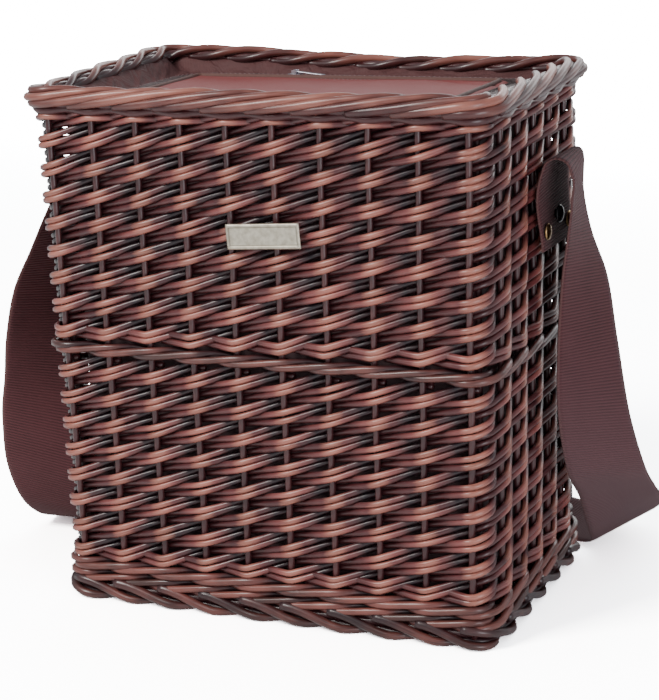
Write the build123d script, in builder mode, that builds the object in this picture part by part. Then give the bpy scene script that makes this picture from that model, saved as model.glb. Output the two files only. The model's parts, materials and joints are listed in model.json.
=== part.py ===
from build123d import *
from math import cos, pi, radians, sin
import os

os.makedirs("parts", exist_ok=True)

# Driving dimensions of the willow cooler basket, in millimetres.
# X runs along the front, the front faces -Y and Z is up. The origin is the middle of the
# foot, on the surface that the basket stands on.
basket_width = 305
basket_depth = 193
basket_height = 324
rim_height = 15
rim_band = 20
rim_corner = 22
rim_roll = 6
rim_side_overhang = 4
rim_front_overhang = 5.5
wall_side_taper = 3.5
wall_front_taper = 2
wall_corner = 18
foot_side_overhang = 1
foot_front_overhang = 2
foot_height = 11
foot_band = 17
foot_roll = 4
bottom_wale_height = 16
middle_wale_height = 11
middle_wale_centre = 164
wale_proud = 1.0

# Willow rods: upright stakes, and the rods woven in front of and behind them. A pair of
# rods shows as a proud row at every other step up the wall, with a hollow row between.
stake_diameter = 4.0
rod_diameter = 4.3
row_pitch = 16.8
row_relief = 3.4
row_flat = 6.0
row_slope = 2.2
stake_spacing = 29.2
stake_clearance = 0.15
stake_end_gap = 0.2
stake_bore_wall = 0.5

# The woven base and the sticks inside it.
base_thickness = 9
base_clearance = 0.3
base_stick_diameter = 5.4
base_stick_spacing = 38
base_stick_count = 4
base_stick_margin = 3

# The cooler liner: an outer fabric, foam panels and a waterproof lining.
liner_clearance = 1.4
liner_corner = 14
liner_top_below_rim = 12.5
liner_fabric = 1.2
foam_thickness = 5
lining_thickness = 0.8
border_thickness = 1.5

# The lid flap, its raised binding, and the zip round three of its sides.
lid_side_margin = 20
lid_front_margin = 13
lid_corner = 10
lid_fabric = 1.2
lid_foam_thickness = 4
lid_lining_thickness = 0.8
lid_above_border = 0.5
binding_inset = 4.5
binding_width = 3.5
binding_height = 1.6
binding_hinge_gap = 10
zip_gap = 4.0
tooth_width = 1.3
tooth_below_lid = 2.5
tooth_above_lid = 0.3
zip_start = 13
zip_tape_width = 7
zip_tape_thickness = 0.6
zip_stop_length = 3.5
hinge_strip_width = 9
hinge_gap = 0.8

# The zip slider and its pull.
slider_place = -38
slider_length = 9
slider_width = 7.4
slider_plate = 1.2
slider_clearance = 0.3
slider_neck = 0.8
slider_neck_length = 6
crown_height = 2.4
crown_post = 1.0
crown_length = 3
crown_span = 4.0
crown_bar_radius = 0.6
pull_length = 21
pull_width = 3.2
pull_thickness = 1.0
pull_tip_radius = 1.4
pull_eye_radius = 1.2
pull_eye_clearance = 0.06
pull_droop = 5.5

# The webbing strap and what fastens it.
strap_width = 57
strap_thickness = 2
strap_standoff = 2
strap_middle = 16.5
stud_height = 240
stud_radius = 2.5
stud_clearance = 0.08
stud_head_radius = 5.5
stud_head_height = 3
stud_head_gap = 0.3
stud_tail_radius = 4
stud_tail_height = 1
washer_radius = 8
washer_thickness = 1.5
rivet_radius = 1.5
rivet_clearance = 0.1
rivet_head_radius = 5
rivet_head_height = 2
rivet_tail_radius = 4
rivet_tail_height = 1
rivet_edge = 8
rivet_below_stud = 7
strap_end_below_stud = 18

# The name plate on the front, left bare.
plate_width = 46.5
plate_height = 14.5
plate_thickness = 1.2
plate_corner = 1
plate_border = 1.2
plate_border_height = 0.4
plate_across = 9.6
plate_up = 241
plate_tilt = 3.5
plate_gap = 0.1
plate_pin_radius = 0.8
plate_pin_clearance = 0.1
plate_pin_inset = 4.25
plate_pin_clinch_radius = 2
plate_pin_clinch = 0.8

# Widths, depths and levels that follow from the sizes above.
wall_thickness = stake_diameter + 2 * rod_diameter
wall_top_width = basket_width - 2 * rim_side_overhang
wall_top_depth = basket_depth - 2 * rim_front_overhang
wall_bottom_width = wall_top_width - 2 * wall_side_taper
wall_bottom_depth = wall_top_depth - 2 * wall_front_taper
foot_width = wall_bottom_width + 2 * foot_side_overhang
foot_depth = wall_bottom_depth + 2 * foot_front_overhang
liner_margin = wall_thickness + wale_proud + liner_clearance
liner_width = wall_bottom_width - 2 * liner_margin
liner_depth = wall_bottom_depth - 2 * liner_margin
lid_width = liner_width - 2 * lid_side_margin
lid_depth = liner_depth - 2 * lid_front_margin
wall_low = foot_height
wall_high = basket_height - rim_height
bottom_wale_top = wall_low + bottom_wale_height
middle_wale_low = middle_wale_centre - middle_wale_height / 2
middle_wale_top = middle_wale_centre + middle_wale_height / 2
base_low = foot_height
base_top = base_low + base_thickness
liner_low = base_top
lid_top = basket_height - liner_top_below_rim + lid_above_border
border_top = basket_height - liner_top_below_rim
border_low = border_top - border_thickness
mouth_width = lid_width + 2 * zip_gap
mouth_depth = lid_depth + 2 * zip_gap
mouth_corner = lid_corner + zip_gap
strap_half = strap_width / 2


def wall_size(height):
    """Outer width and depth of the tapered wall at a height."""
    share = (height - wall_low) / (wall_high - wall_low)
    width = wall_bottom_width + (wall_top_width - wall_bottom_width) * share
    depth = wall_bottom_depth + (wall_top_depth - wall_bottom_depth) * share
    return width, depth


def around(width, depth, corner, share):
    """The point at a share of the way round a rounded rectangle, from the front's middle."""
    quarter = pi * corner / 2
    runs = [width / 2 - corner, depth - 2 * corner, width - 2 * corner, depth - 2 * corner]
    total = 2 * (width + depth) - 8 * corner + 4 * quarter
    distance = share * total
    corners = [
        (width / 2 - corner, corner - depth / 2),
        (width / 2 - corner, depth / 2 - corner),
        (corner - width / 2, depth / 2 - corner),
        (corner - width / 2, corner - depth / 2),
    ]
    point = Vector(0, -depth / 2)
    for side in range(4):
        along = Vector(1, 0).rotate(Axis.Z, 90 * side)
        if distance <= runs[side]:
            return point + along * distance
        distance -= runs[side]
        centre = Vector(*corners[side])
        if distance <= quarter:
            turn = -90 + 90 * side + 90 * distance / quarter
            return centre + Vector(corner * cos(radians(turn)), corner * sin(radians(turn)))
        distance -= quarter
        point = centre + Vector(corner, 0).rotate(Axis.Z, 90 * side)
    return point + Vector(1, 0) * distance


def stake_axes():
    """A plane at each stake's foot, its Z along the leaning stake."""
    middle_width, middle_depth = wall_size((wall_low + wall_high) / 2)
    corner = wall_corner - wall_thickness / 2
    length = 2 * (middle_width + middle_depth - 2 * wall_thickness) - (8 - 2 * pi) * corner
    count = 2 * round(length / stake_spacing / 2)
    planes = []
    for number in range(count):
        ends = []
        for height in (wall_low, wall_high):
            width, depth = wall_size(height)
            share = (number + 0.5) / count
            place = around(width - wall_thickness, depth - wall_thickness, corner, share)
            ends.append(Vector(place.X, place.Y, height))
        planes.append(Plane(origin=ends[0], z_dir=ends[1] - ends[0]))
    return planes


def beside_stakes(wanted, height, along, outward, room):
    """The place along a wall, nearest to the wanted one, with room beside every stake."""
    stakes = []
    for foot in stakes_at:
        stake = foot.origin + foot.z_dir * ((height - foot.origin.Z) / foot.z_dir.Z)
        if stake.dot(outward) > 0:
            stakes.append(stake.dot(along))
    places = [stake + side * room for stake in stakes for side in (-1, 1)] + [wanted]
    gaps = {place: min(abs(place - stake) for stake in stakes) for place in places}
    free = [place for place, gap in gaps.items() if gap > room * 0.999]
    return min(free, key=lambda place: abs(place - wanted))


def plate_plane(depth):
    """The plate's plane at a distance in front of the basket's middle, facing forward."""
    turn = radians(plate_tilt)
    return Plane(
        origin=(plate_across, -depth, plate_up),
        x_dir=(cos(turn), 0, sin(turn)),
        z_dir=(0, -1, 0),
    )


def weave_levels(low, high):
    """Heights up a randed band, each with how far its face lies in from the proud rows."""
    profile = (
        (-row_flat / 2 - row_slope, row_relief),
        (-row_flat / 2, 0),
        (row_flat / 2, 0),
        (row_flat / 2 + row_slope, row_relief),
    )
    middle = low + rod_diameter
    levels = []
    while middle < high:
        levels += [(middle + up, inset) for up, inset in profile if low < middle + up < high]
        middle += row_pitch
    return [(low, levels[0][1])] + levels + [(high, levels[-1][1])]


stakes_at = stake_axes()
plate_back = wall_size(plate_up + plate_height / 2)[1] / 2 + plate_gap
stake_room = stake_diameter / 2 + stake_clearance + stake_bore_wall
pin_room = stake_room + plate_pin_radius + plate_pin_clearance
pin_places = []
for side in (-1, 1):
    wanted = plate_across + side * (plate_width / 2 - plate_pin_inset)
    free = beside_stakes(wanted, plate_up, Vector(1, 0, 0), Vector(0, -1, 0), pin_room)
    pin_places.append((free - plate_across, 0))
stud_room = stake_room + stud_radius + stud_clearance
strap_across = beside_stakes(
    strap_middle, stud_height, Vector(0, 1, 0), Vector(1, 0, 0), stud_room
)
stud_plane = Plane(origin=(0, strap_across, stud_height), x_dir=(0, 1, 0), z_dir=(1, 0, 0))

# The woven wall, in bands one above the other, with a channel round every stake. The two
# randed bands have proud rows outside. The top one is bored for the studs and the pins.
wall_bands = {
    "bottom_wale": (wall_low, bottom_wale_top, wale_proud),
    "lower_weave": (bottom_wale_top, middle_wale_low, 0),
    "middle_wale": (middle_wale_low, middle_wale_top, wale_proud),
    "upper_weave": (middle_wale_top, wall_high, 0),
}
for name, (low, high, proud) in wall_bands.items():
    ends = [(low, 0), (high, 0)]
    outside = ends if proud else weave_levels(low, high)
    with BuildPart() as wall_band:
        for levels, margin, mode in (
            (outside, proud, Mode.ADD),
            (ends, -wall_thickness - proud, Mode.SUBTRACT),
        ):
            for height, inset in levels:
                width, depth = wall_size(height)
                reach = margin - inset
                with BuildSketch(Plane.XY.offset(height)):
                    RectangleRounded(width + 2 * reach, depth + 2 * reach, wall_corner + reach)
            loft(ruled=True, mode=mode)
        for place in stakes_at:
            with Locations(place):
                Cylinder(stake_diameter / 2 + stake_clearance, 2 * basket_height, mode=Mode.SUBTRACT)
        if high == wall_high:
            with Locations(stud_plane):
                Cylinder(stud_radius + stud_clearance, 2 * basket_width, mode=Mode.SUBTRACT)
            with BuildSketch(plate_plane(plate_back)):
                with Locations(*pin_places):
                    Circle(plate_pin_radius + plate_pin_clearance)
            extrude(amount=-2 * wall_thickness, mode=Mode.SUBTRACT)
    wall_band.part.label = name
    export_step(wall_band.part, f"parts/{name}.step")

with BuildPart() as stakes:
    for place in stakes_at:
        rise = place.z_dir.Z
        length = (wall_high - wall_low) / rise - 2 * stake_end_gap
        with Locations(place.offset(stake_end_gap)):
            Cylinder(
                stake_diameter / 2,
                length,
                align=(Align.CENTER, Align.CENTER, Align.MIN),
            )
stakes.part.label = "stakes"
export_step(stakes.part, "parts/stakes.step")

# The rolled borders at the foot and at the rim.
with BuildPart() as foot_border:
    with BuildSketch():
        RectangleRounded(foot_width, foot_depth, wall_corner)
        RectangleRounded(
            foot_width - 2 * foot_band,
            foot_depth - 2 * foot_band,
            max(wall_corner - foot_band, 1),
            mode=Mode.SUBTRACT,
        )
    extrude(amount=foot_height)
    low_outline = foot_border.faces().sort_by(Axis.Z)[0].outer_wire()
    fillet(low_outline.edges(), foot_roll)
foot_border.part.label = "foot_border"
export_step(foot_border.part, "parts/foot_border.step")

with BuildPart() as top_border:
    with BuildSketch(Plane.XY.offset(wall_high)):
        RectangleRounded(basket_width, basket_depth, rim_corner)
        RectangleRounded(
            basket_width - 2 * rim_band,
            basket_depth - 2 * rim_band,
            max(rim_corner - rim_band, rim_band / 2),
            mode=Mode.SUBTRACT,
        )
    extrude(amount=rim_height)
    fillet(top_border.faces().sort_by(Axis.Z)[-1].edges(), rim_roll)
    low_outline = top_border.faces().sort_by(Axis.Z)[0].outer_wire()
    fillet(low_outline.edges(), rim_roll)
top_border.part.label = "top_border"
export_step(top_border.part, "parts/top_border.step")

# The woven base stands on the foot border, with its sticks inside it.
base_width, base_depth = wall_size(base_low)
base_fit = wall_thickness + wale_proud + base_clearance
stick_length = base_width - 2 * base_fit - 2 * base_stick_margin
stick_plane = Plane(origin=(0, 0, base_low + base_thickness / 2), x_dir=(0, 1, 0), z_dir=(1, 0, 0))

with BuildPart() as base_weave:
    with BuildSketch(Plane.XY.offset(base_low)):
        RectangleRounded(
            base_width - 2 * base_fit,
            base_depth - 2 * base_fit,
            wall_corner - wall_thickness - wale_proud,
        )
    extrude(amount=base_thickness)
    with Locations(stick_plane):
        with GridLocations(base_stick_spacing, 0, base_stick_count, 1):
            Cylinder(
                base_stick_diameter / 2 + stake_clearance,
                stick_length + 2 * stake_end_gap,
                mode=Mode.SUBTRACT,
            )
base_weave.part.label = "base_weave"
export_step(base_weave.part, "parts/base_weave.step")

with BuildPart() as base_sticks:
    with Locations(stick_plane):
        with GridLocations(base_stick_spacing, 0, base_stick_count, 1):
            Cylinder(base_stick_diameter / 2, stick_length)
base_sticks.part.label = "base_sticks"
export_step(base_sticks.part, "parts/base_sticks.step")

# The liner's outer fabric: an open box whose top edge carries the flat border.
shell_top = border_low
inner_width = liner_width - 2 * liner_fabric
inner_depth = liner_depth - 2 * liner_fabric
inner_corner = liner_corner - liner_fabric
with BuildPart() as liner_shell:
    with BuildSketch(Plane.XY.offset(liner_low)):
        RectangleRounded(liner_width, liner_depth, liner_corner)
    extrude(amount=shell_top - liner_low)
    with BuildSketch(Plane.XY.offset(liner_low + liner_fabric)):
        RectangleRounded(inner_width, inner_depth, inner_corner)
    extrude(amount=shell_top - liner_low, mode=Mode.SUBTRACT)
liner_shell.part.label = "liner_shell"
export_step(liner_shell.part, "parts/liner_shell.step")

# Foam panels inside the outer fabric: a floor, a flat one along the front and the back,
# and one at each end that turns the two corners.
foam_low = liner_low + liner_fabric
foam_floor_top = foam_low + foam_thickness
lining_width = inner_width - 2 * foam_thickness
lining_depth = inner_depth - 2 * foam_thickness
lining_corner = inner_corner - foam_thickness
with BuildPart() as foam_floor:
    with BuildSketch(Plane.XY.offset(foam_low)):
        RectangleRounded(inner_width, inner_depth, inner_corner)
    extrude(amount=foam_thickness)
foam_floor.part.label = "foam_floor"
export_step(foam_floor.part, "parts/foam_floor.step")

flat_panel = inner_width - 2 * inner_corner
end_panel = (inner_width - flat_panel) / 2
foam_sides = {
    "foam_front": ((0, -inner_depth / 4), (flat_panel, inner_depth / 2)),
    "foam_back": ((0, inner_depth / 4), (flat_panel, inner_depth / 2)),
    "foam_left": ((-(flat_panel + end_panel) / 2, 0), (end_panel, inner_depth)),
    "foam_right": (((flat_panel + end_panel) / 2, 0), (end_panel, inner_depth)),
}
for name, (place, size) in foam_sides.items():
    with BuildPart() as foam_side:
        with BuildSketch(Plane.XY.offset(foam_floor_top)):
            RectangleRounded(inner_width, inner_depth, inner_corner)
            RectangleRounded(lining_width, lining_depth, lining_corner, mode=Mode.SUBTRACT)
            with Locations(place):
                Rectangle(*size, mode=Mode.INTERSECT)
        extrude(amount=shell_top - foam_floor_top)
    foam_side.part.label = name
    export_step(foam_side.part, f"parts/{name}.step")

# The waterproof lining inside the foam.
with BuildPart() as liner_lining:
    with BuildSketch(Plane.XY.offset(foam_floor_top)):
        RectangleRounded(lining_width, lining_depth, lining_corner)
    extrude(amount=shell_top - foam_floor_top)
    with BuildSketch(Plane.XY.offset(foam_floor_top + lining_thickness)):
        RectangleRounded(
            lining_width - 2 * lining_thickness,
            lining_depth - 2 * lining_thickness,
            lining_corner - lining_thickness,
        )
    extrude(amount=shell_top - foam_floor_top, mode=Mode.SUBTRACT)
liner_lining.part.label = "liner_lining"
export_step(liner_lining.part, "parts/liner_lining.step")

with BuildPart() as liner_border:
    with BuildSketch(Plane.XY.offset(border_low)):
        RectangleRounded(liner_width, liner_depth, liner_corner)
        RectangleRounded(mouth_width, mouth_depth, mouth_corner, mode=Mode.SUBTRACT)
    extrude(amount=border_thickness)
liner_border.part.label = "liner_border"
export_step(liner_border.part, "parts/liner_border.step")

# The zip on the border: tape and teeth round the left, back and right of the mouth.
zip_front = -lid_depth / 2 + zip_start
with BuildPart() as zip_tape:
    with BuildSketch(Plane.XY.offset(border_top)):
        RectangleRounded(
            mouth_width + 2 * zip_tape_width,
            mouth_depth + 2 * zip_tape_width,
            mouth_corner + zip_tape_width,
        )
        RectangleRounded(mouth_width, mouth_depth, mouth_corner, mode=Mode.SUBTRACT)
        with Locations((0, zip_front)):
            Rectangle(
                2 * basket_width,
                basket_depth,
                align=(Align.CENTER, Align.MAX),
                mode=Mode.SUBTRACT,
            )
    extrude(amount=zip_tape_thickness)
zip_tape.part.label = "zip_tape"
export_step(zip_tape.part, "parts/zip_tape.step")

teeth_low = lid_top - tooth_below_lid
teeth_top = lid_top + tooth_above_lid
teeth_rows = {
    "border_zip_teeth": (mouth_width, mouth_depth, mouth_corner),
    "lid_zip_teeth": (
        lid_width + 2 * tooth_width,
        lid_depth + 2 * tooth_width,
        lid_corner + tooth_width,
    ),
}
for name, (width, depth, corner) in teeth_rows.items():
    with BuildPart() as teeth_row:
        with BuildSketch(Plane.XY.offset(teeth_low)):
            RectangleRounded(width, depth, corner)
            RectangleRounded(
                width - 2 * tooth_width,
                depth - 2 * tooth_width,
                corner - tooth_width,
                mode=Mode.SUBTRACT,
            )
            with Locations((0, zip_front)):
                Rectangle(
                    2 * basket_width,
                    basket_depth,
                    align=(Align.CENTER, Align.MAX),
                    mode=Mode.SUBTRACT,
                )
        extrude(amount=teeth_top - teeth_low)
    teeth_row.part.label = name
    export_step(teeth_row.part, f"parts/{name}.step")

with BuildPart() as zip_stops:
    for side in (-1, 1):
        with BuildSketch(Plane.XY.offset(teeth_low)):
            with Locations((side * (mouth_width - tooth_width) / 2, zip_front)):
                Rectangle(tooth_width, zip_stop_length, align=(Align.CENTER, Align.MAX))
        extrude(amount=teeth_top - teeth_low)
zip_stops.part.label = "zip_stops"
export_step(zip_stops.part, "parts/zip_stops.step")

# The sewn strip that the lid folds on, along the front of the mouth.
hinge_line = -lid_depth / 2
with BuildPart() as lid_hinge_strip:
    with BuildSketch(Plane.XY.offset(border_top)):
        with Locations((0, hinge_line - hinge_gap)):
            Rectangle(
                lid_width - 2 * lid_corner,
                hinge_strip_width,
                align=(Align.CENTER, Align.MAX),
            )
    extrude(amount=zip_tape_thickness)
lid_hinge_strip.part.label = "lid_hinge_strip"
export_step(lid_hinge_strip.part, "parts/lid_hinge_strip.step")

# The lid flap: fabric over foam over lining.
lid_layers = {
    "lid_panel": lid_fabric,
    "lid_foam": lid_foam_thickness,
    "lid_lining": lid_lining_thickness,
}
layer_top = lid_top
for name, thickness in lid_layers.items():
    with BuildPart() as lid_layer:
        with BuildSketch(Plane.XY.offset(layer_top - thickness)):
            RectangleRounded(lid_width, lid_depth, lid_corner)
        extrude(amount=thickness)
    lid_layer.part.label = name
    export_step(lid_layer.part, f"parts/{name}.step")
    layer_top = layer_top - thickness

binding_corner = lid_corner - binding_inset
with BuildPart() as lid_binding:
    with BuildSketch(Plane.XY.offset(lid_top)):
        RectangleRounded(
            lid_width - 2 * binding_inset,
            lid_depth - 2 * binding_inset,
            binding_corner,
        )
        RectangleRounded(
            lid_width - 2 * (binding_inset + binding_width),
            lid_depth - 2 * (binding_inset + binding_width),
            binding_corner - binding_width,
            mode=Mode.SUBTRACT,
        )
        with Locations((0, hinge_line + binding_hinge_gap)):
            Rectangle(
                lid_width,
                lid_depth,
                align=(Align.CENTER, Align.MAX),
                mode=Mode.SUBTRACT,
            )
    extrude(amount=binding_height)
lid_binding.part.label = "lid_binding"
export_step(lid_binding.part, "parts/lid_binding.step")

# The slider hooks over the lid's row of teeth, on the straight run along the back.
row_face = lid_depth / 2 + tooth_width
neck_near = row_face + slider_clearance
plate_low = teeth_top + slider_clearance
plate_top = plate_low + slider_plate
lip_top = teeth_low - slider_clearance
slider_across = neck_near + slider_neck / 2
crown_bar_height = plate_top + crown_height - crown_post
with BuildPart() as zip_slider:
    with BuildSketch(Plane.XY.offset(plate_low)):
        with Locations((slider_place, slider_across)):
            RectangleRounded(slider_length, slider_width, slider_width / 4)
    extrude(amount=slider_plate)
    with BuildSketch(Plane.XY.offset(lip_top)):
        with Locations((slider_place, slider_across)):
            Rectangle(slider_neck_length, slider_neck)
    extrude(amount=plate_low - lip_top)
    with BuildSketch(Plane.XY.offset(lip_top)):
        with Locations((slider_place, neck_near + slider_neck)):
            Rectangle(
                slider_neck_length,
                neck_near + slider_neck - lid_depth / 2 - slider_clearance,
                align=(Align.CENTER, Align.MAX),
            )
    extrude(amount=-slider_plate)
    for side in (-1, 1):
        post_across = slider_across + side * (crown_span + crown_post) / 2
        with BuildSketch(Plane.XY.offset(plate_top)):
            with Locations((slider_place, post_across)):
                Rectangle(crown_length, crown_post)
        extrude(amount=crown_height)
    with Locations(Plane(origin=(slider_place, slider_across, crown_bar_height), z_dir=(0, 1, 0))):
        Cylinder(crown_bar_radius, crown_span)
zip_slider.part.label = "zip_slider"
export_step(zip_slider.part, "parts/zip_slider.step")

droop = radians(pull_droop)
pull_plane = Plane(
    origin=(slider_place, slider_across, crown_bar_height),
    x_dir=(cos(droop), 0, -sin(droop)),
    z_dir=(0, -1, 0),
)
with BuildPart() as zip_pull:
    with BuildSketch(pull_plane):
        Circle(pull_eye_radius)
        with Locations((pull_length / 2, 0)):
            Rectangle(pull_length, pull_thickness)
        Circle(crown_bar_radius + pull_eye_clearance, mode=Mode.SUBTRACT)
    extrude(amount=pull_width / 2, both=True)
    along = Axis(pull_plane.origin, pull_plane.x_dir)
    thickness_edges = zip_pull.edges().filter_by(Axis(pull_plane.origin, pull_plane.y_dir))
    fillet(thickness_edges.sort_by(along)[-2:], pull_tip_radius)
zip_pull.part.label = "zip_pull"
export_step(zip_pull.part, "parts/zip_pull.step")

# The strap's route, as rungs from its near edge to its far edge. Round each stud the places
# are out from the wall, along the side and up from the stud. Down the legs the height is a
# share of the stud's. Behind the basket they are a share of the foot's half width, back
# from the rim and up. The distances are in strap_steps, a 57th of the webbing's width.
leg_face = wall_size(stud_height)[0] / 2 + strap_standoff + strap_thickness / 2
strap_step_count = 57
strap_step = strap_width / strap_step_count


def beside_stud(side, out, along, rise):
    out, along, rise = out * strap_step, along * strap_step, rise * strap_step
    return Vector(side * (leg_face + out), strap_across + along, stud_height + rise)


def down_leg(side, out, along, share):
    out, along = out * strap_step, along * strap_step
    return Vector(side * (leg_face + out), strap_across + along, stud_height * share)


def behind(share, back, up):
    back, up = back * strap_step, up * strap_step
    return Vector(foot_width / 2 * share, basket_depth / 2 + back, up)


def fold_rung(side, turn):
    """A rung of the fold above a stud, each edge on its own arc, at degrees of turn."""
    ends = []
    edges = (-strap_step_count / 2, strap_step_count / 2)
    for (radius, centre), along in zip(fold_arcs[side], edges):
        out = radius * (1 - cos(radians(turn)))
        rise = centre + radius * sin(radians(turn))
        ends.append(beside_stud(side, out, along, rise))
    return ends


# The radius of each fold's near and far edge, and its centre's height above the stud.
fold_arcs = {1: ((9, 28.5), (4, 31.5)), -1: ((5, 30.5), (3.2, 29.8))}
right_turns = (0, 45, 90, 135, 180)
left_turns = (135, 90, 45, 0)
right_leg = [
    ((17.9, -28.5, 1.05), (7.9, 28.5, 1.046)),
    ((14.9, -27, 0.971), (11.9, 32, 0.938)),
    ((9.9, -24, 0.858), (20.9, 34, 0.829)),
    ((6.4, -22.5, 0.675), (28.5, 32, 0.658)),
    ((5.4, -21.5, 0.5), (38, 29, 0.465)),
    ((5.9, -5.5, 0.338), (44.4, 40.5, 0.314)),
    ((4.9, 25.5, 0.221), (43.4, 70, 0.213)),
    ((2.4, 58.5, 0.085), (37.4, 98, 0.142)),
]
floor_run = [
    ((1.014, -2.5, 6), (1.226, 41.5, 18)),
    ((0.877, 5.5, 2.5), (1.02, 57.5, 9)),
    ((0.63, 7.5, 0.8), (0.712, 61.5, 14)),
    ((0.342, 6.5, 0.8), (0.384, 54.5, 33)),
    ((0.034, 5.5, 0.8), (0.048, 37.5, 49)),
    ((-0.308, 5.5, 0.8), (-0.301, 24.5, 56)),
    ((-0.65, 7.5, 0.8), (-0.644, 19.5, 57)),
    ((-0.96, 12.5, 0.8), (-0.925, 21.5, 57)),
    ((-1.22, 15.5, 0.8), (-1.096, 16.5, 55)),
    ((-1.41, 3.5, 0.8), (-1.17, 1.5, 47)),
    ((-1.534, -20.5, 1.2), (-1.205, -20.5, 31)),
    ((-1.582, -48.5, 3), (-1.205, -43.5, 15)),
    ((-1.568, -74.5, 8), (-1.185, -66.5, 7)),
]
left_leg = [
    ((81.4, -10.5, 0.092), (25.4, -2.5, 0.058)),
    ((87.9, -17.5, 0.2), (31.4, -12.5, 0.158)),
    ((89.4, -16.5, 0.342), (35.4, -6.5, 0.3)),
    ((85.4, -16.5, 0.467), (37.4, 11.5, 0.425)),
    ((78.4, -20.5, 0.6), (39.4, 20, 0.567)),
    ((66.9, -25, 0.742), (35.4, 24, 0.713)),
    ((51.4, -28, 0.85), (27.4, 27, 0.833)),
    ((35.4, -29.5, 0.963), (20.4, 28.5, 0.946)),
    ((21.4, -28.5, 1.058), (12.4, 28.5, 1.033)),
]
strap_inside = leg_face - strap_thickness / 2
strap_outside = leg_face + strap_thickness / 2
rivet_across = strap_half - rivet_edge
rivet_spots = [(side * rivet_across, -rivet_below_stud) for side in (-1, 1)]
strap_end_level = stud_height - strap_end_below_stud
ends = {
    side: (
        Vector(side * leg_face, strap_across - strap_half, strap_end_level),
        Vector(side * leg_face, strap_across + strap_half, strap_end_level),
    )
    for side in (-1, 1)
}
rungs = [ends[1]]
rungs += [fold_rung(1, turn) for turn in right_turns]
rungs += [(down_leg(1, *near), down_leg(1, *far)) for near, far in right_leg]
rungs += [(behind(*near), behind(*far)) for near, far in floor_run]
rungs += [(down_leg(-1, *near), down_leg(-1, *far)) for near, far in left_leg]
rungs += [fold_rung(-1, turn) for turn in left_turns]
rungs += [ends[-1]]
middles = [(near + far) / 2 for near, far in rungs]
strap_length = sum((after - before).length for before, after in zip(middles, middles[1:]))
print("strap length along its middle", round(strap_length), "mm")

with BuildPart() as shoulder_strap:
    last = len(rungs) - 1
    for number, (near, far) in enumerate(rungs):
        before = middles[max(number, 1)] - middles[max(number, 1) - 1]
        after = middles[min(number, last - 1) + 1] - middles[min(number, last - 1)]
        run = before.normalized() + after.normalized()
        across = (far - near).normalized()
        square = (run - across * run.dot(across)).normalized()
        with BuildSketch(Plane(origin=middles[number], x_dir=across, z_dir=square)):
            Rectangle(strap_width, strap_thickness)
    loft(ruled=True)
    with BuildSketch(stud_plane):
        Circle(stud_radius + stud_clearance)
        with Locations(*rivet_spots):
            Circle(rivet_radius + rivet_clearance)
    extrude(amount=leg_face + strap_thickness, both=True, mode=Mode.SUBTRACT)
shoulder_strap.part.label = "shoulder_strap"
export_step(shoulder_strap.part, "parts/shoulder_strap.step")

# Each rivet has a domed head outside the webbing and a thin one between it and the wall.
dome_radius = (rivet_head_radius**2 + rivet_head_height**2) / (2 * rivet_head_height)
with BuildPart() as strap_rivets:
    for spot in rivet_spots:
        along = Axis(stud_plane.from_local_coords(Vector(*spot)), (1, 0, 0))
        with BuildSketch(Plane(origin=along.position, x_dir=(1, 0, 0), z_dir=(0, -1, 0))):
            with BuildLine():
                Polyline(
                    (strap_outside + rivet_head_height, 0),
                    (strap_inside - rivet_tail_height, 0),
                    (strap_inside - rivet_tail_height, rivet_tail_radius),
                    (strap_inside, rivet_tail_radius),
                    (strap_inside, rivet_radius),
                    (strap_outside, rivet_radius),
                    (strap_outside, rivet_head_radius),
                )
                RadiusArc(
                    (strap_outside, rivet_head_radius),
                    (strap_outside + rivet_head_height, 0),
                    dome_radius,
                )
            make_face()
        revolve(axis=along)
    mirror(about=Plane.YZ)
strap_rivets.part.label = "strap_rivets"
export_step(strap_rivets.part, "parts/strap_rivets.step")

# The domed studs that the strap swings on, through the wall, with a washer inside.
wall_inside = wall_size(stud_height - washer_radius)[0] / 2 - wall_thickness
washer_inside = wall_inside - washer_thickness
head_low = strap_outside + stud_head_gap
stud_dome_radius = (stud_head_radius**2 + stud_head_height**2) / (2 * stud_head_height)
with BuildPart() as strap_studs:
    with BuildSketch(Plane(origin=stud_plane.origin, x_dir=(1, 0, 0), z_dir=(0, -1, 0))):
        with BuildLine():
            Polyline(
                (head_low + stud_head_height, 0),
                (washer_inside - stud_tail_height, 0),
                (washer_inside - stud_tail_height, stud_tail_radius),
                (washer_inside, stud_tail_radius),
                (washer_inside, stud_radius),
                (head_low, stud_radius),
                (head_low, stud_head_radius),
            )
            RadiusArc(
                (head_low, stud_head_radius),
                (head_low + stud_head_height, 0),
                stud_dome_radius,
            )
        make_face()
    revolve(axis=Axis(stud_plane.origin, (1, 0, 0)))
    mirror(about=Plane.YZ)
strap_studs.part.label = "strap_studs"
export_step(strap_studs.part, "parts/strap_studs.step")

with BuildPart() as stud_washers:
    with BuildSketch(stud_plane.offset(washer_inside)):
        Circle(washer_radius)
        Circle(stud_radius + stud_clearance, mode=Mode.SUBTRACT)
    extrude(amount=washer_thickness)
    mirror(about=Plane.YZ)
stud_washers.part.label = "stud_washers"
export_step(stud_washers.part, "parts/stud_washers.step")

# The bare plate on the front, with a raised border, and its two clinched pins.
with BuildPart() as front_plate:
    with BuildSketch(plate_plane(plate_back)):
        RectangleRounded(plate_width, plate_height, plate_corner)
    extrude(amount=plate_thickness)
    with BuildSketch(plate_plane(plate_back + plate_thickness)):
        RectangleRounded(plate_width, plate_height, plate_corner)
        Rectangle(
            plate_width - 2 * plate_border,
            plate_height - 2 * plate_border,
            mode=Mode.SUBTRACT,
        )
    extrude(amount=plate_border_height)
front_plate.part.label = "front_plate"
export_step(front_plate.part, "parts/front_plate.step")

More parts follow.
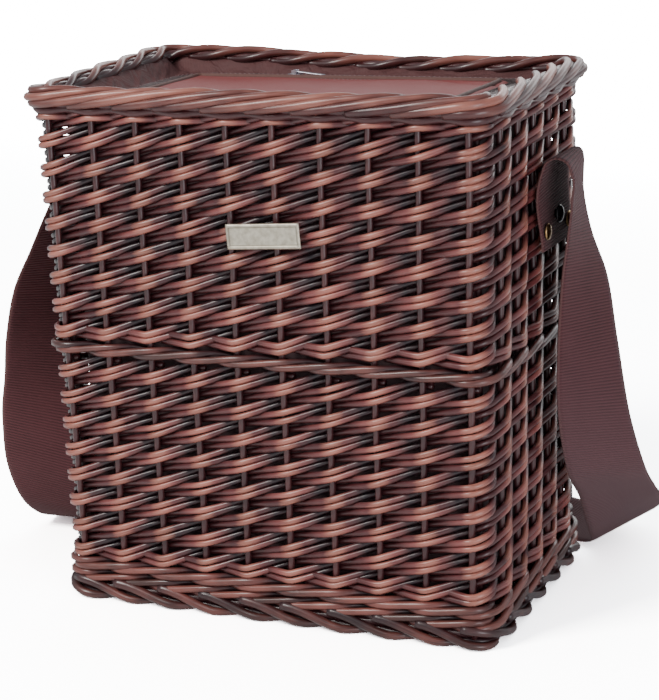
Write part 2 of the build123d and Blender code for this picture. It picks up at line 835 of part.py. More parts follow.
clinch_place = wall_size(plate_up - plate_height / 2)[1] / 2 - wall_thickness
with BuildPart() as plate_pins:
    with BuildSketch(plate_plane(plate_back)):
        with Locations(*pin_places):
            Circle(plate_pin_radius)
    extrude(amount=clinch_place - plate_back)
    with BuildSketch(plate_plane(clinch_place)):
        with Locations(*pin_places):
            Circle(plate_pin_clinch_radius)
    extrude(amount=-plate_pin_clinch)
plate_pins.part.label = "plate_pins"
export_step(plate_pins.part, "parts/plate_pins.step")
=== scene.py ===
import json

import bmesh
import bpy
import numpy as np
from mathutils import Matrix, Vector


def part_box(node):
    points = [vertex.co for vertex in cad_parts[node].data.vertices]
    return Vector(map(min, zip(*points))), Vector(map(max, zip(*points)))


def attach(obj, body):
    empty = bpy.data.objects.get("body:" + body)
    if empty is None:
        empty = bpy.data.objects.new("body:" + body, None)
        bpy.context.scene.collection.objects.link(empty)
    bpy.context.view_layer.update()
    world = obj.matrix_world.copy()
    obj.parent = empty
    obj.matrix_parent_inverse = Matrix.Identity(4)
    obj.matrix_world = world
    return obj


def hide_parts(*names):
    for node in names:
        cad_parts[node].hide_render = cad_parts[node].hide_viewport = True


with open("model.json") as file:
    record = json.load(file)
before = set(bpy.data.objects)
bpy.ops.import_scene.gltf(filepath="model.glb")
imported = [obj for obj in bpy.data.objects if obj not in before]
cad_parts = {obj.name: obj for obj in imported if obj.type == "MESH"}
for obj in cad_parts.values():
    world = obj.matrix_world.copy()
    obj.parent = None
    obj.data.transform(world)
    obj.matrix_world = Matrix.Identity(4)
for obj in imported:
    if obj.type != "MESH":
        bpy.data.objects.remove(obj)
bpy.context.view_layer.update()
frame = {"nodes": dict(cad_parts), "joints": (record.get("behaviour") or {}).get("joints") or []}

# The camera stands in front of the basket's right corner and looks slightly down on it,
# held a little crooked, as the photograph was taken.
camera_place = (0.50252, -1.09026, 0.46857)
camera_turn, camera_rise, camera_roll = np.radians((24.4376, 14.9072, -2.2032))
view_back = np.array((
    np.sin(camera_turn) * np.cos(camera_rise),
    -np.cos(camera_turn) * np.cos(camera_rise),
    np.sin(camera_rise),
))
view_right = np.array((np.cos(camera_turn), np.sin(camera_turn), 0))
view_up = np.cross(view_back, view_right)
camera_x = view_right * np.cos(camera_roll) + view_up * np.sin(camera_roll)
camera_y = view_up * np.cos(camera_roll) - view_right * np.sin(camera_roll)
camera_matrix = Matrix.Identity(4)
for column, direction in enumerate((camera_x, camera_y, view_back, camera_place)):
    for row in range(3):
        camera_matrix[row][column] = direction[row]
camera = bpy.data.objects.new("camera", bpy.data.cameras.new("camera"))
camera.data.lens = 101.85
camera.data.clip_end = 20
camera.matrix_world = camera_matrix
bpy.context.collection.objects.link(camera)
bpy.context.scene.camera = camera


# Stakes: thirty upright willow rods, peeled and stained, that the wall is woven round. They
# lean out with the wall's taper and run down into the foot and up into the rim. A pair of
# sticks fills each corner from inside, where the wall is thick and lets no light through.
wall_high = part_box("upper_weave")[1]
wall_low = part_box("lower_weave")[1]
wall_thickness = 0.0126
wall_corner = 0.018
half_wall = wall_thickness / 2
path_corner = wall_corner - half_wall
stake_count = 30
stake_radius = 0.002
stake_sway = 0.0004


def rounded_path(share, half_width, half_depth, corner):
    """Points and outward directions at shares of the way round a rounded rectangle.

    The way starts at the middle of the front and turns towards +X. It has nine legs, straight
    runs and quarter circles in turn, and each share is measured back from the corner ahead.
    """
    share, half_width, half_depth = np.broadcast_arrays(share % 1.0, half_width, half_depth)
    quarter = np.full(share.shape, np.pi * corner / 2)
    side, end = 2 * (half_width - corner), 2 * (half_depth - corner)
    runs = np.stack([side / 2, quarter, end, quarter, side, quarter, end, quarter, side / 2])
    starts = np.concatenate([np.zeros_like(runs[:1]), np.cumsum(runs, axis=0)])
    distance = share * starts[-1]
    leg = (distance >= starts[1:-1]).sum(axis=0)
    along = distance - np.take_along_axis(starts, leg[None], 0)[0]
    quarters, on_arc = leg // 2, leg % 2 == 1
    heading = quarters * np.pi / 2 + np.where(on_arc, along / corner, 0)
    run = np.where(leg == 8, side, np.take_along_axis(runs, leg[None], 0)[0])
    ahead = np.where(on_arc, 0, along - run)
    out = np.stack([np.sin(heading), -np.cos(heading)], axis=-1)
    forward = np.stack([np.cos(heading), np.sin(heading)], axis=-1)
    centre = np.stack([
        (half_width - corner) * np.array([1, 1, -1, -1, 1])[quarters],
        (half_depth - corner) * np.array([-1, 1, 1, -1, -1])[quarters],
    ], axis=-1)
    return centre + corner * out + ahead[..., None] * forward, out


def wall_points(share, height, outward):
    """Points on the wall's middle surface, moved outward by a distance.

    The half sizes grow in a straight line with height, from the top of the lower weave to
    the top of the upper one.
    """
    share, height, outward = np.broadcast_arrays(share, height, outward)
    rise = (height - wall_low.z) / (wall_high.z - wall_low.z)
    half_width = wall_low.x + (wall_high.x - wall_low.x) * rise - half_wall
    half_depth = wall_low.y + (wall_high.y - wall_low.y) * rise - half_wall
    flat, out = rounded_path(share, half_width, half_depth, path_corner)
    return np.concatenate([flat + out * outward[..., None], height[..., None]], axis=-1)


def add_piece(
    name, sheets, across, along, wrap=True, caps=True, tone=0.5, proud=1.0, lean=0.5
):
    """A smooth mesh from grids of points, with UVs in metres.

    sheets is (grids, rows, columns, 3). Rows run along the piece and columns across it, or
    round it where wrap is set. Each cell is one face, and caps close the first and last row.
    tone is one value for each grid. proud and lean are one for each row: how far it stands
    out of the weave, from 0 to 1, and whether it is on its way out, 1, or back in, 0. The
    willow finishes paint shade and a highlight from them.
    """
    grids, rows, columns, _ = sheets.shape
    spans = columns if wrap else columns - 1
    grid, row, column = np.meshgrid(
        np.arange(grids), np.arange(rows - 1), np.arange(spans), indexing="ij"
    )
    step_row = np.array([0, 0, 1, 1])
    step_column = np.array([0, 1, 1, 0])
    corner_row = row[..., None] + step_row
    corner_column = column[..., None] + step_column
    start = grid[..., None] * rows * columns
    loops = (start + corner_row * columns + corner_column % columns).reshape(-1)
    corner_grid = np.broadcast_to(grid[..., None], corner_row.shape)
    uv = np.stack([
        across[corner_grid, corner_row, corner_column],
        along[corner_grid, corner_row, corner_column],
    ], axis=-1).reshape(-1, 2)
    counts = np.full(loops.size // 4, 4)
    if caps:
        ring = np.arange(columns)
        first = np.arange(grids)[:, None] * rows * columns + ring[::-1]
        last = np.arange(grids)[:, None] * rows * columns + (rows - 1) * columns + ring
        ends = np.concatenate([first, last])
        loops = np.concatenate([loops, ends.reshape(-1)])
        uv = np.concatenate([uv, np.zeros((ends.size, 2))])
        counts = np.concatenate([counts, np.full(len(ends), columns)])
    mesh = bpy.data.meshes.new(name)
    mesh.vertices.add(grids * rows * columns)
    mesh.vertices.foreach_set("co", sheets.astype(np.float32).reshape(-1))
    mesh.loops.add(loops.size)
    mesh.loops.foreach_set("vertex_index", loops.astype(np.int32))
    mesh.polygons.add(counts.size)
    mesh.polygons.foreach_set("loop_start", (np.cumsum(counts) - counts).astype(np.int32))
    mesh.uv_layers.new(name="metres").data.foreach_set("uv", uv.astype(np.float32).reshape(-1))
    for title, values in (("tone", tone), ("proud", proud), ("lean", lean)):
        values = np.asarray(values, np.float32)
        values = values.reshape(values.shape + (1,) * (3 - values.ndim))
        points = np.ascontiguousarray(np.broadcast_to(values, (grids, rows, columns)))
        layer = mesh.attributes.new(title, "FLOAT", "POINT")
        layer.data.foreach_set("value", points.reshape(-1))
    mesh.polygons.foreach_set("use_smooth", np.ones(counts.size, dtype=bool))
    mesh.update()
    mesh.validate()
    piece = bpy.data.objects.new(name, mesh)
    bpy.context.collection.objects.link(piece)
    return piece


def distances(points):
    """How far each point lies along its line, from the line's first point."""
    steps = np.linalg.norm(np.diff(points, axis=-2), axis=-1)
    start = np.zeros(steps.shape[:-1] + (1,))
    return np.concatenate([start, np.cumsum(steps, axis=-1)], axis=-1)


def round_rods(name, paths, radii, sides=7, upright=(0, 0, 1), proud=1.0, lean=0.5):
    """Round rods along paths (rods, points, 3), each with its own radii (rods, points).

    Each ring is the path's point plus a circle in the plane square to the path, and the
    circle's sideways direction is square to upright. Both ends are closed.
    """
    forward = np.gradient(paths, axis=1)
    forward /= np.linalg.norm(forward, axis=-1, keepdims=True)
    side = np.cross(np.array(upright, float), forward)
    side /= np.linalg.norm(side, axis=-1, keepdims=True)
    top = np.cross(forward, side)
    angle = 2 * np.pi * np.arange(sides) / sides
    circle = (
        np.cos(angle)[:, None] * side[:, :, None, :] + np.sin(angle)[:, None] * top[:, :, None, :]
    )
    sheets = paths[:, :, None, :] + circle * radii[:, :, None, None]
    run = distances(paths)
    around = np.arange(sides + 1) / sides * 2 * np.pi * stake_radius
    across = np.broadcast_to(around, run.shape + (sides + 1,))
    along = np.broadcast_to(run[..., None], across.shape)
    tone = chance.random(len(paths))
    return add_piece(name, sheets, across, along, tone=tone, proud=proud, lean=lean)


class Nodes:
    """A node tree, and short ways to add nodes to it."""

    def __init__(self, tree):
        self.tree = tree

    def feed(self, socket, value):
        """Links a socket to another one, or sets it to a constant."""
        if isinstance(value, bpy.types.NodeSocket):
            self.tree.links.new(value, socket)
        else:
            socket.default_value = value

    def node(self, kind, values=None, **settings):
        """A new node with its settings, and with values fed to its sockets."""
        made = self.tree.nodes.new(kind)
        for key, value in settings.items():
            setattr(made, key, value)
        for socket, value in (values or {}).items():
            self.feed(made.inputs[socket], value)
        return made

    def math(self, operation, *values):
        """The result of one calculation."""
        return self.node("ShaderNodeMath", dict(enumerate(values)), operation=operation).outputs[0]

    def noise(self, place, scale, detail=2.0):
        """Soft noise round 0.5."""
        values = {"Vector": place, "Scale": scale, "Detail": detail}
        return self.node("ShaderNodeTexNoise", values).outputs["Fac"]

    def level(self, value, low, high, start=0.0, end=1.0, **settings):
        """A value carried over from the range start to end to the range low to high."""
        values = {
            "Value": value, "From Min": start, "From Max": end, "To Min": low, "To Max": high
        }
        return self.node("ShaderNodeMapRange", values, **settings).outputs["Result"]

    def ramp(self, value, *stops):
        """A colour between stops, each a value and its colour."""
        made = self.node("ShaderNodeValToRGB", {"Fac": value})
        elements = made.color_ramp.elements
        for _ in stops[2:]:
            elements.new(0.5)
        for element, (place, colour) in zip(elements, stops):
            element.position = place
            element.color = (*colour, 1)
        return made.outputs["Color"]

    def mix(self, share, first, second):
        """The first colour with a share of the second laid over it."""
        values = {"Factor": share, "A": first, "B": second}
        return self.node("ShaderNodeMix", values, data_type="RGBA").outputs["Result"]


class Finish(Nodes):
    """A new material with its Principled BSDF."""

    def __init__(self, name):
        self.material = bpy.data.materials.new(name)
        self.material.use_nodes = True
        super().__init__(self.material.node_tree)
        self.shader = self.tree.nodes["Principled BSDF"]

    def set(self, **values):
        """Feeds the shader's own sockets, with _ for a space in their names."""
        for key, value in values.items():
            self.feed(self.shader.inputs[key.replace("_", " ")], value)

    def bump(self, height, distance, strength=1.0, normal=None):
        """Raises the surface by a height, on top of another bump's normal if there is one."""
        values = {"Height": height, "Distance": distance, "Strength": strength}
        raised = self.node("ShaderNodeBump", values)
        if normal:
            self.feed(raised.inputs["Normal"], normal)
        self.feed(self.shader.inputs["Normal"], raised.outputs["Normal"])
        return raised.outputs["Normal"]


def dress(piece, finish, slot_name, body, *nodes):
    """Gives a piece its material, the body it rides on and the nodes it replaces; slot_name is not
    used.
    """
    piece.data.materials.append(finish.material)
    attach(piece, body)
    if nodes:
        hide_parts(*nodes)


def group_with(name, inputs, outputs):
    """An empty shader node group with named sockets."""
    group = bpy.data.node_groups.new(name, "ShaderNodeTree")
    for title, kind, value in inputs:
        socket = group.interface.new_socket(title, in_out="INPUT", socket_type=kind)
        if value is not None:
            socket.default_value = value
    for title, kind in outputs:
        group.interface.new_socket(title, in_out="OUTPUT", socket_type=kind)
    return group, group.nodes.new("NodeGroupInput"), group.nodes.new("NodeGroupOutput")


# Grain of a peeled willow rod: long fibre streaks round the rod, slow patches of stain along
# it, and a difference from rod to rod. Recess and crest carry painted light: recess says where
# painted shade falls deep in the weave, and crest where a rod is lighter on top, partly with
# wear and partly as a painted highlight.
willow_grain, grain_in, grain_out = group_with(
    "willow_grain",
    [("Streaks", "NodeSocketFloat", 2600.0), ("Seed", "NodeSocketFloat", 0.0)],
    [(title, "NodeSocketFloat") for title in ("Stain", "Fibre", "Recess", "Crest", "Lean")],
)
grain = Nodes(willow_grain)
rod_uv = grain.node("ShaderNodeUVMap", uv_map="metres").outputs["UV"]
rod_tone, rod_proud, rod_lean = [
    grain.node("ShaderNodeAttribute", attribute_name=title).outputs["Fac"]
    for title in ("tone", "proud", "lean")
]
rod_split = grain.node("ShaderNodeSeparateXYZ", {"Vector": rod_uv}).outputs
rod_shift = grain.math("ADD", grain.math("MULTIPLY", rod_tone, 37.0), grain_in.outputs["Seed"])
streak_x = grain.math("MULTIPLY", rod_split["X"], grain_in.outputs["Streaks"])
streak_y = grain.math("MULTIPLY", rod_split["Y"], 90.0)
streak_at = grain.node("ShaderNodeCombineXYZ", {"X": streak_x, "Y": streak_y, "Z": rod_shift})
fibre = grain.noise(streak_at.outputs[0], 1.0, 3.0)
patch_y = grain.math("MULTIPLY", rod_split["Y"], 34.0)
patch_at = grain.node("ShaderNodeCombineXYZ", {"X": rod_shift, "Y": patch_y, "Z": 0.0})
stain = grain.math("MULTIPLY_ADD", grain.noise(patch_at.outputs[0], 1.0, 2.0), 0.9, -0.2)
stain = grain.math("MULTIPLY_ADD", rod_tone, 0.35, stain)
stain = grain.math("MULTIPLY_ADD", fibre, 0.4, stain)
recess = grain.level(rod_proud, 1.0, 0.0, 0.35, 1.0)
crest = grain.level(grain.math("MULTIPLY_ADD", fibre, 0.3, rod_proud), 0.0, 1.0, 1.0, 1.2)
for title, value in (
    ("Stain", stain), ("Fibre", fibre), ("Recess", recess), ("Crest", crest), ("Lean", rod_lean)
):
    grain.feed(grain_out.inputs[title], value)


def willow(name, colours, roughness, seed, wear_and_highlight_share):
    """Stained willow: the grain's stain picks from three colours, and its fibres are raised.

    Painted shade darkens the recesses of the weave: dark red where a rod comes out, and nearly
    black where it goes back in and turns away from the light. The crests are lighter, partly
    with wear and partly as a painted highlight.
    """
    finish = Finish(name)
    signs = finish.node("ShaderNodeGroup", {"Seed": seed}, node_tree=willow_grain).outputs
    stained = finish.ramp(signs["Stain"], *zip((0.22, 0.52, 0.85), colours))
    # The crests are lighter, partly with wear and partly as a painted highlight.
    wear_and_highlight = finish.math("MULTIPLY", signs["Crest"], wear_and_highlight_share)
    worn_and_lit = finish.mix(wear_and_highlight, stained, (0.62, 0.245, 0.17, 1))
    # Painted shade: nearly black where a rod turns in, away from the light, dark red where it
    # comes out.
    painted_shade = finish.mix(signs["Lean"], (0.006, 0.0065, 0.011, 1), (0.06, 0.01, 0.012, 1))
    colour = finish.mix(finish.math("MULTIPLY", signs["Recess"], 0.95), worn_and_lit, painted_shade)
    shine = finish.level(signs["Fibre"], roughness - 0.1, roughness + 0.12)
    finish.set(Base_Color=colour, Roughness=shine, Coat_Weight=0.5, Coat_Roughness=0.24, IOR=1.5)
    finish.bump(signs["Fibre"], 0.00025, 0.6)
    return finish


chance = np.random.default_rng(7)
brown_willow = willow(
    "stained_willow", ((0.018, 0.005, 0.009), (0.125, 0.026, 0.028), (0.35, 0.1, 0.09)),
    roughness=0.36, seed=1.0, wear_and_highlight_share=0.7,
)
stake_low, stake_top = 0.004, wall_high.z + 0.006
stake_height = np.linspace(stake_low, stake_top, 40)
stake_share = (np.arange(stake_count) + 0.5) / stake_count
stake_wander = stake_sway * np.sin(
    stake_height[None, :] * 45 + 2 * np.pi * chance.random((stake_count, 1))
)
stake_paths = wall_points(
    stake_share[:, None] + stake_wander, stake_height[None, :], stake_wander * 0.5
)
stake_sizes = 0.95 + 0.1 * chance.random((stake_count, 1))
stake_radii = np.linspace(1.06, 0.94, 40) * stake_radius * stake_sizes
stake_side = (0.31, 0.95, 0)
# proud sets painted shade: the stakes stand back between the strokes and are painted mostly in
# shade.
stakes = round_rods("stakes_willow", stake_paths, stake_radii, 8, stake_side, proud=0.45)
dress(stakes, brown_willow, "willow", "basket", "stakes")
corner_share = np.array((0.1515, 0.1600, 0.3400, 0.3485, 0.6515, 0.6600, 0.8400, 0.8485))
corner_inset = 0.0062
corner_radius = 0.0022
corner_paths = wall_points(corner_share[:, None], stake_height[None, :], -corner_inset)
corner_radii = np.full(corner_paths.shape[:2], corner_radius)
# The corner sticks are painted in full shade inside the wall.
corner_sticks = round_rods(
    "corner_sticks_willow", corner_paths, corner_radii, upright=stake_side, proud=0.3
)
dress(corner_sticks, brown_willow, "willow", "basket")


# Randed weave: a pair of willow rods starts at every stake and climbs round the basket, in
# front of one stake and behind the next, so pairs show as short strokes that rise to the
# right with the bare stake between them.
weave_swing = 0.0038
weave_radius = 0.002
weave_flank = 0.96
weave_hurry = 0.045
row_pitch = 0.0168


def randing(name, low, climbs):
    """Pairs of rods, one from each stake, that climb half a row's pitch at every stake.

    A rod's share of the way round is its stake plus its progress. Its distance outward is
    the arcsine of a cosine, a wave with straight flanks, and is full at every other stake.
    It climbs a little faster on its way in than on its way out. Each rod ends behind a stake.
    """
    last = climbs + (0.2 if climbs % 2 else 0.8)
    progress = np.linspace(-0.8, last, (climbs + 1) * 12)
    strand = np.repeat(np.arange(stake_count), 2)[:, None]
    in_pair = np.tile((-1, 1), stake_count)[:, None]
    phase = 2 * np.pi * chance.random((2 * stake_count, 2))
    wander = np.sin(progress * 1.3 + phase[:, :1]) + np.sin(progress * 2.9 + phase[:, 1:])
    share = (strand + progress + 0.5 + 0.01 * wander) / stake_count
    climbed = np.clip(progress, 0, climbs)
    climbed = climbed + weave_hurry * (1 - np.cos(np.pi * climbed))
    height = low + 2.1 * weave_radius + row_pitch / 2 * climbed
    height = height + in_pair * weave_radius * 1.06 + 0.0003 * wander[:, ::-1]
    wave = np.arcsin(weave_flank * np.cos(np.pi * progress)) / np.arcsin(weave_flank)
    outward = weave_swing * wave
    size = 0.93 + 0.12 * chance.random((2 * stake_count, 1))
    taper = 1.03 - 0.06 * progress / climbs
    # proud and lean paint each rod: a lighter crest where it passes in front of a stake, and
    # painted shade where it goes behind one, darkest on its way in.
    return round_rods(
        name,
        wall_points(share, height, outward + 0.00012 * wander),
        weave_radius * size * taper,
        proud=0.5 + 0.5 * np.cos(np.pi * (progress - 0.08)) + 0 * strand,
        lean=0.5 - 0.5 * np.sin(np.pi * progress) + 0 * strand,
    )


lower_weave = randing("lower_weave_willow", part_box("lower_weave")[0].z, 15)
dress(lower_weave, brown_willow, "willow", "basket", "lower_weave")
upper_weave = randing("upper_weave_willow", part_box("upper_weave")[0].z, 16)
dress(upper_weave, brown_willow, "willow", "basket", "upper_weave")


# Waling: three willow rods woven together, each in front of two stakes and behind one. It
# locks the foot of the wall in two courses, and one course makes a belt half way up.
wale_swing = 0.0049


def waling(name, low, high, courses, rise, radius):
    """Closed courses of three rods, each a wave over three stakes, that start at the back.

    The wave's steep sides are a hyperbolic tangent, so that a rod lies flat outside two
    stakes. The height swings by rise, a quarter of a wave behind it.
    """
    progress = np.linspace(0, stake_count, stake_count * 8 + 1)
    rod = np.tile(np.arange(3), courses)[:, None]
    course = np.repeat(np.arange(courses), 3)[:, None]
    turn = 2 * np.pi * (progress - rod) / 3
    outward = wale_swing * np.tanh(1.7 * np.cos(turn) + 0.55)
    middle = low + (high - low) * (course + 0.5) / courses
    phase = 2 * np.pi * chance.random((3 * courses, 1))
    height = middle + rise * np.sin(turn) + 0.0003 * np.sin(2 * np.pi * progress / 5 + phase)
    share = 0.5 + progress / stake_count + 0 * rod
    paths = wall_points(share, height, outward)
    radii = radius * (0.97 + 0.08 * np.sin(2 * np.pi * progress / 15 + phase))
    # proud follows the outward distance, so a rod is painted in shade where it goes behind a
    # stake.
    return round_rods(name, paths, radii, proud=0.5 + 0.1 * outward / 0.001)


belt_willow = willow(
    "belt_willow", ((0.007, 0.0027, 0.004), (0.045, 0.0115, 0.012), (0.25, 0.075, 0.06)),
    roughness=0.36, seed=9.0, wear_and_highlight_share=0.1,
)
bottom_low, bottom_high = (corner.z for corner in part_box("bottom_wale"))
bottom_wale = waling("bottom_wale_willow", bottom_low, bottom_high, 2, 0.0021, 0.0024)
dress(bottom_wale, belt_willow, "willow", "basket", "bottom_wale")
belt_low, belt_high = (corner.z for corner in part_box("middle_wale"))
middle_wale = waling("middle_wale_willow", belt_low, belt_high, 1, 0.002, 0.0023)
dress(middle_wale, belt_willow, "willow", "basket", "middle_wale")


# Foot border: the lower ends of the stakes, bent over and plaited flat under the waling, so
# that each comes out at its stake, slants down to the right and tucks in under the basket.
# Four rods run round behind them, painted in full shade.
foot_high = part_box("foot_border")[1]
foot_radius = 0.0029
foot_progress = np.linspace(0, 1, 26)


def ease(value, start, end):
    """0 before start and 1 after end, with a smooth cubic step between them."""
    part = np.clip((value - start) / (end - start), 0, 1)
    return part * part * (3 - 2 * part)


foot_seed = chance.random((stake_count, 2))
foot_share = (
    np.arange(stake_count)[:, None] + 0.3 + 2.5 * foot_progress + 0.1 * foot_seed[:, :1]
) / stake_count
foot_drop = ease(foot_progress, 0.0, 0.55 + 0.08 * foot_seed[:, 1:])
foot_radii = foot_radius * (1.02 - 0.28 * foot_progress) * (0.95 + 0.12 * foot_seed[:, 1:])
foot_rods_high = foot_high.z + foot_radius * 0.7
foot_height = foot_rods_high + (foot_radii * 1.02 - foot_rods_high) * foot_drop
foot_outward = 0.0057 - 0.0135 * ease(foot_progress, 0.5, 0.95) - 0.001 * foot_seed[:, :1]
foot_paths = wall_points(foot_share, foot_height, foot_outward)
# Painted shade at both ends of each rod, where it tucks in.
foot_proud = 0.45 + 0.5 * np.sin(np.pi * foot_progress) + 0 * foot_seed[:, :1]
foot_border = round_rods(
    "foot_border_willow", foot_paths, foot_radii, sides=9, proud=foot_proud, lean=0.3
)
dress(foot_border, belt_willow, "willow", "basket", "foot_border")
core_turn = np.linspace(0, 1, stake_count * 8 + 1)
core_places = np.array(((0.0012, 0.0094), (0.0004, 0.004), (-0.0045, 0.0086), (-0.005, 0.0032)))
core_radius = 0.0027
core_wave = 0.0005 * np.sin(
    2 * np.pi * (core_turn * stake_count + np.linspace(0.1, 0.9, 4)[:, None])
)
core_height = core_places[:, 1:] - core_wave
core_paths = wall_points(0.5 + core_turn[None], core_height, core_places[:, :1] + core_wave)
core_radii = np.full(core_height.shape, core_radius)
foot_core = round_rods("foot_core_willow", core_paths, core_radii, proud=0.2)
dress(foot_core, belt_willow, "willow", "basket")


# Top border: the upper ends of the stakes, bent down and rolled over one another into a
# thick rim. Each rises outside, runs along the top and dives down inside. The rim was rolled
# by hand, so it stands a little high at the back.
rim_low, rim_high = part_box("top_border")
rim_band = 0.02
rim_radius = 0.0028
rim_progress = np.linspace(0, 1, 60)
rim_seed = chance.random((stake_count, 3))


def hand_lift(points):
    """How far the rim stands above its level: most at the back left, a little back right.

    Each corner's share is a product of cubic steps along the width and the depth.
    """
    left = 1 - ease(points[..., 0] / rim_high.x, -1.0, 0.35)
    right = ease(points[..., 0] / rim_high.x, 0.55, 1.0)
    back = ease(points[..., 1] / rim_high.y, -1.2, 1.0)
    return back * (0.0062 * left + 0.0022 * right)


def rim_points(share, height, outward):
    """Points over the wall's top edge, moved outward and lifted with the rim."""
    flat, out = rounded_path(share, wall_high.x - half_wall, wall_high.y - half_wall, path_corner)
    plan = flat + out * outward[..., None]
    return np.concatenate([plan, (height + hand_lift(plan))[..., None]], axis=-1)


rim_share = (
    np.arange(stake_count)[:, None] + 4.1 * rim_progress + 0.16 * rim_seed[:, :1]
) / stake_count
rim_roll = 150 * ease(rim_progress, -0.2, 0.85) + 110 * ease(rim_progress, 0.55, 1.0)
rim_turn = np.radians(rim_roll - 62)
rim_middle = rim_high.x - rim_band / 2 - (wall_high.x - half_wall)
rim_level = (rim_high.z + rim_low.z) / 2
rim_radii = rim_radius * (1.03 - 0.2 * rim_progress) * (0.9 + 0.16 * rim_seed[:, 1:2])
rim_tuck = 1 - 0.45 * ease(rim_progress, 0.84, 1.0)
rim_reach = (rim_band / 2 - rim_radii) * rim_tuck
rim_thick = ((rim_high.z - rim_low.z) / 2 - rim_radii) * rim_tuck
rim_outward = rim_middle + rim_reach * np.cos(rim_turn)
rim_height = rim_level + rim_thick * np.sin(rim_turn)
rim_height = rim_height + 0.0014 * (rim_seed[:, 2:] - 0.5) * np.sin(np.pi * rim_progress)
rim_paths = rim_points(rim_share, rim_height, rim_outward)
# Painted shade where a rod dives down inside the rim, and a little where it first rises outside.
rim_proud = 0.45 + 0.5 * ease(rim_progress, 0, 0.4) - 0.75 * ease(rim_progress, 0.66, 0.95)
rim_proud = rim_proud + 0 * rim_seed[:, :1]
rim_willow = willow(
    "rim_willow", ((0.018, 0.0055, 0.006), (0.135, 0.032, 0.028), (0.42, 0.15, 0.11)),
    roughness=0.38, seed=17.0, wear_and_highlight_share=0.2,
)
top_border = round_rods(
    "top_border_willow", rim_paths, rim_radii, sides=10, proud=rim_proud, lean=0.6
)
dress(top_border, rim_willow, "willow", "basket", "top_border")


# Rim filling: the rods that turn down inside the rim and lie along it under the rolled
# border, so that no daylight shows through the roll.
fill_turn = np.linspace(0, 1, stake_count * 8 + 1)
fill_places = np.array((
    (-0.0032, 0.0002), (0.0032, -0.0022), (0.0004, 0.0008), (0.0030, -0.0064), (-0.0012, -0.0056)
))
fill_radius = 0.0026
fill_wave = 0.0007 * np.sin(
    2 * np.pi * (fill_turn * stake_count + np.linspace(0.1, 0.9, 5)[:, None])
)
fill_paths = rim_points(
    0.5 + fill_turn,
    rim_level + fill_places[:, 1:] - fill_wave,
    rim_middle + fill_places[:, :1] + fill_wave,
)
fill_radii = np.full(fill_wave.shape, fill_radius)
# They are painted in shade, under the roll.
rim_filling = round_rods("rim_filling_willow", fill_paths, fill_radii, proud=0.35, lean=0.9)
dress(rim_filling, brown_willow, "willow", "basket")


# Base: four thick willow sticks along the length of the basket, with thinner rods woven
# over and under them from front to back, resting on the foot border.
base_low, base_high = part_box("base_weave")
stick_low, stick_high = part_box("base_sticks")
stick_radius = (stick_high.z - stick_low.z) / 2
stick_rows = np.linspace(stick_low.y + stick_radius, stick_high.y - stick_radius, 4)
stick_run = np.linspace(stick_low.x, stick_high.x, 24)
stick_bow = 0.0003 * np.sin(stick_run * 30 + stick_rows[:, None] * 90)
stick_paths = np.stack(np.broadcast_arrays(
    stick_run, stick_rows[:, None] + stick_bow, (stick_low.z + stick_high.z) / 2
), axis=-1)
stick_radii = np.full(stick_bow.shape, stick_radius)
base_sticks = round_rods("base_sticks_willow", stick_paths, stick_radii, sides=10)
dress(base_sticks, brown_willow, "willow", "basket", "base_sticks")
slew_radius = 0.0017
slew_count = int((base_high.x - base_low.x) / (2 * slew_radius)) - 1
slew_across = np.linspace(base_low.x + slew_radius, base_high.x - slew_radius, slew_count)
slew_run = np.linspace(base_low.y + 0.001, base_high.y - 0.001, 64)
stick_gap = stick_rows[1] - stick_rows[0]
slew_phase = np.pi * (slew_run - stick_rows[0]) / stick_gap
slew_swing = (base_high.z - base_low.z) / 2 - slew_radius
slew_side = np.where(np.arange(slew_count) % 2 == 0, 1, -1)[:, None]
slew_paths = np.stack(np.broadcast_arrays(
    slew_across[:, None] + 0.0002 * np.sin(slew_phase + slew_side),
    slew_run,
    (base_low.z + base_high.z) / 2 + slew_side * slew_swing * np.cos(slew_phase),
), axis=-1)
slew_radii = slew_radius * (0.94 + 0.1 * chance.random((slew_count, 1))) + 0 * slew_run
base_weave = round_rods(
    "base_weave_willow", slew_paths, slew_radii, sides=6, upright=(1, 0, 0.01)
)
dress(base_weave, brown_willow, "willow", "basket", "base_weave")


# Cloth threads: two sets of fine threads that cross at right angles, for the liner, the
# lid, the tapes and the webbing.
cloth_threads, thread_in, thread_out = group_with(
    "cloth_threads",
    [("Across", "NodeSocketFloat", 2000.0), ("Along", "NodeSocketFloat", 2000.0)],
    [("Height", "NodeSocketFloat"), ("Slub", "NodeSocketFloat"), ("Place", "NodeSocketVector")],
)
threads = Nodes(cloth_threads)
thread_uv = threads.node("ShaderNodeUVMap", uv_map="metres").outputs["UV"]
thread_split = threads.node("ShaderNodeSeparateXYZ", {"Vector": thread_uv}).outputs
thread_waves = []
for axis, pitch in (("X", "Across"), ("Y", "Along")):
    turns = threads.math("MULTIPLY", thread_split[axis], thread_in.outputs[pitch])
    thread_waves.append(threads.math("SINE", threads.math("MULTIPLY", turns, 2 * np.pi)))
thread_sum = threads.math("MULTIPLY", *thread_waves)
threads.feed(thread_out.inputs["Height"], threads.math("MULTIPLY_ADD", thread_sum, 0.5, 0.5))
threads.feed(thread_out.inputs["Slub"], threads.noise(thread_uv, 260.0, 3.0))
threads.feed(thread_out.inputs["Place"], thread_uv)


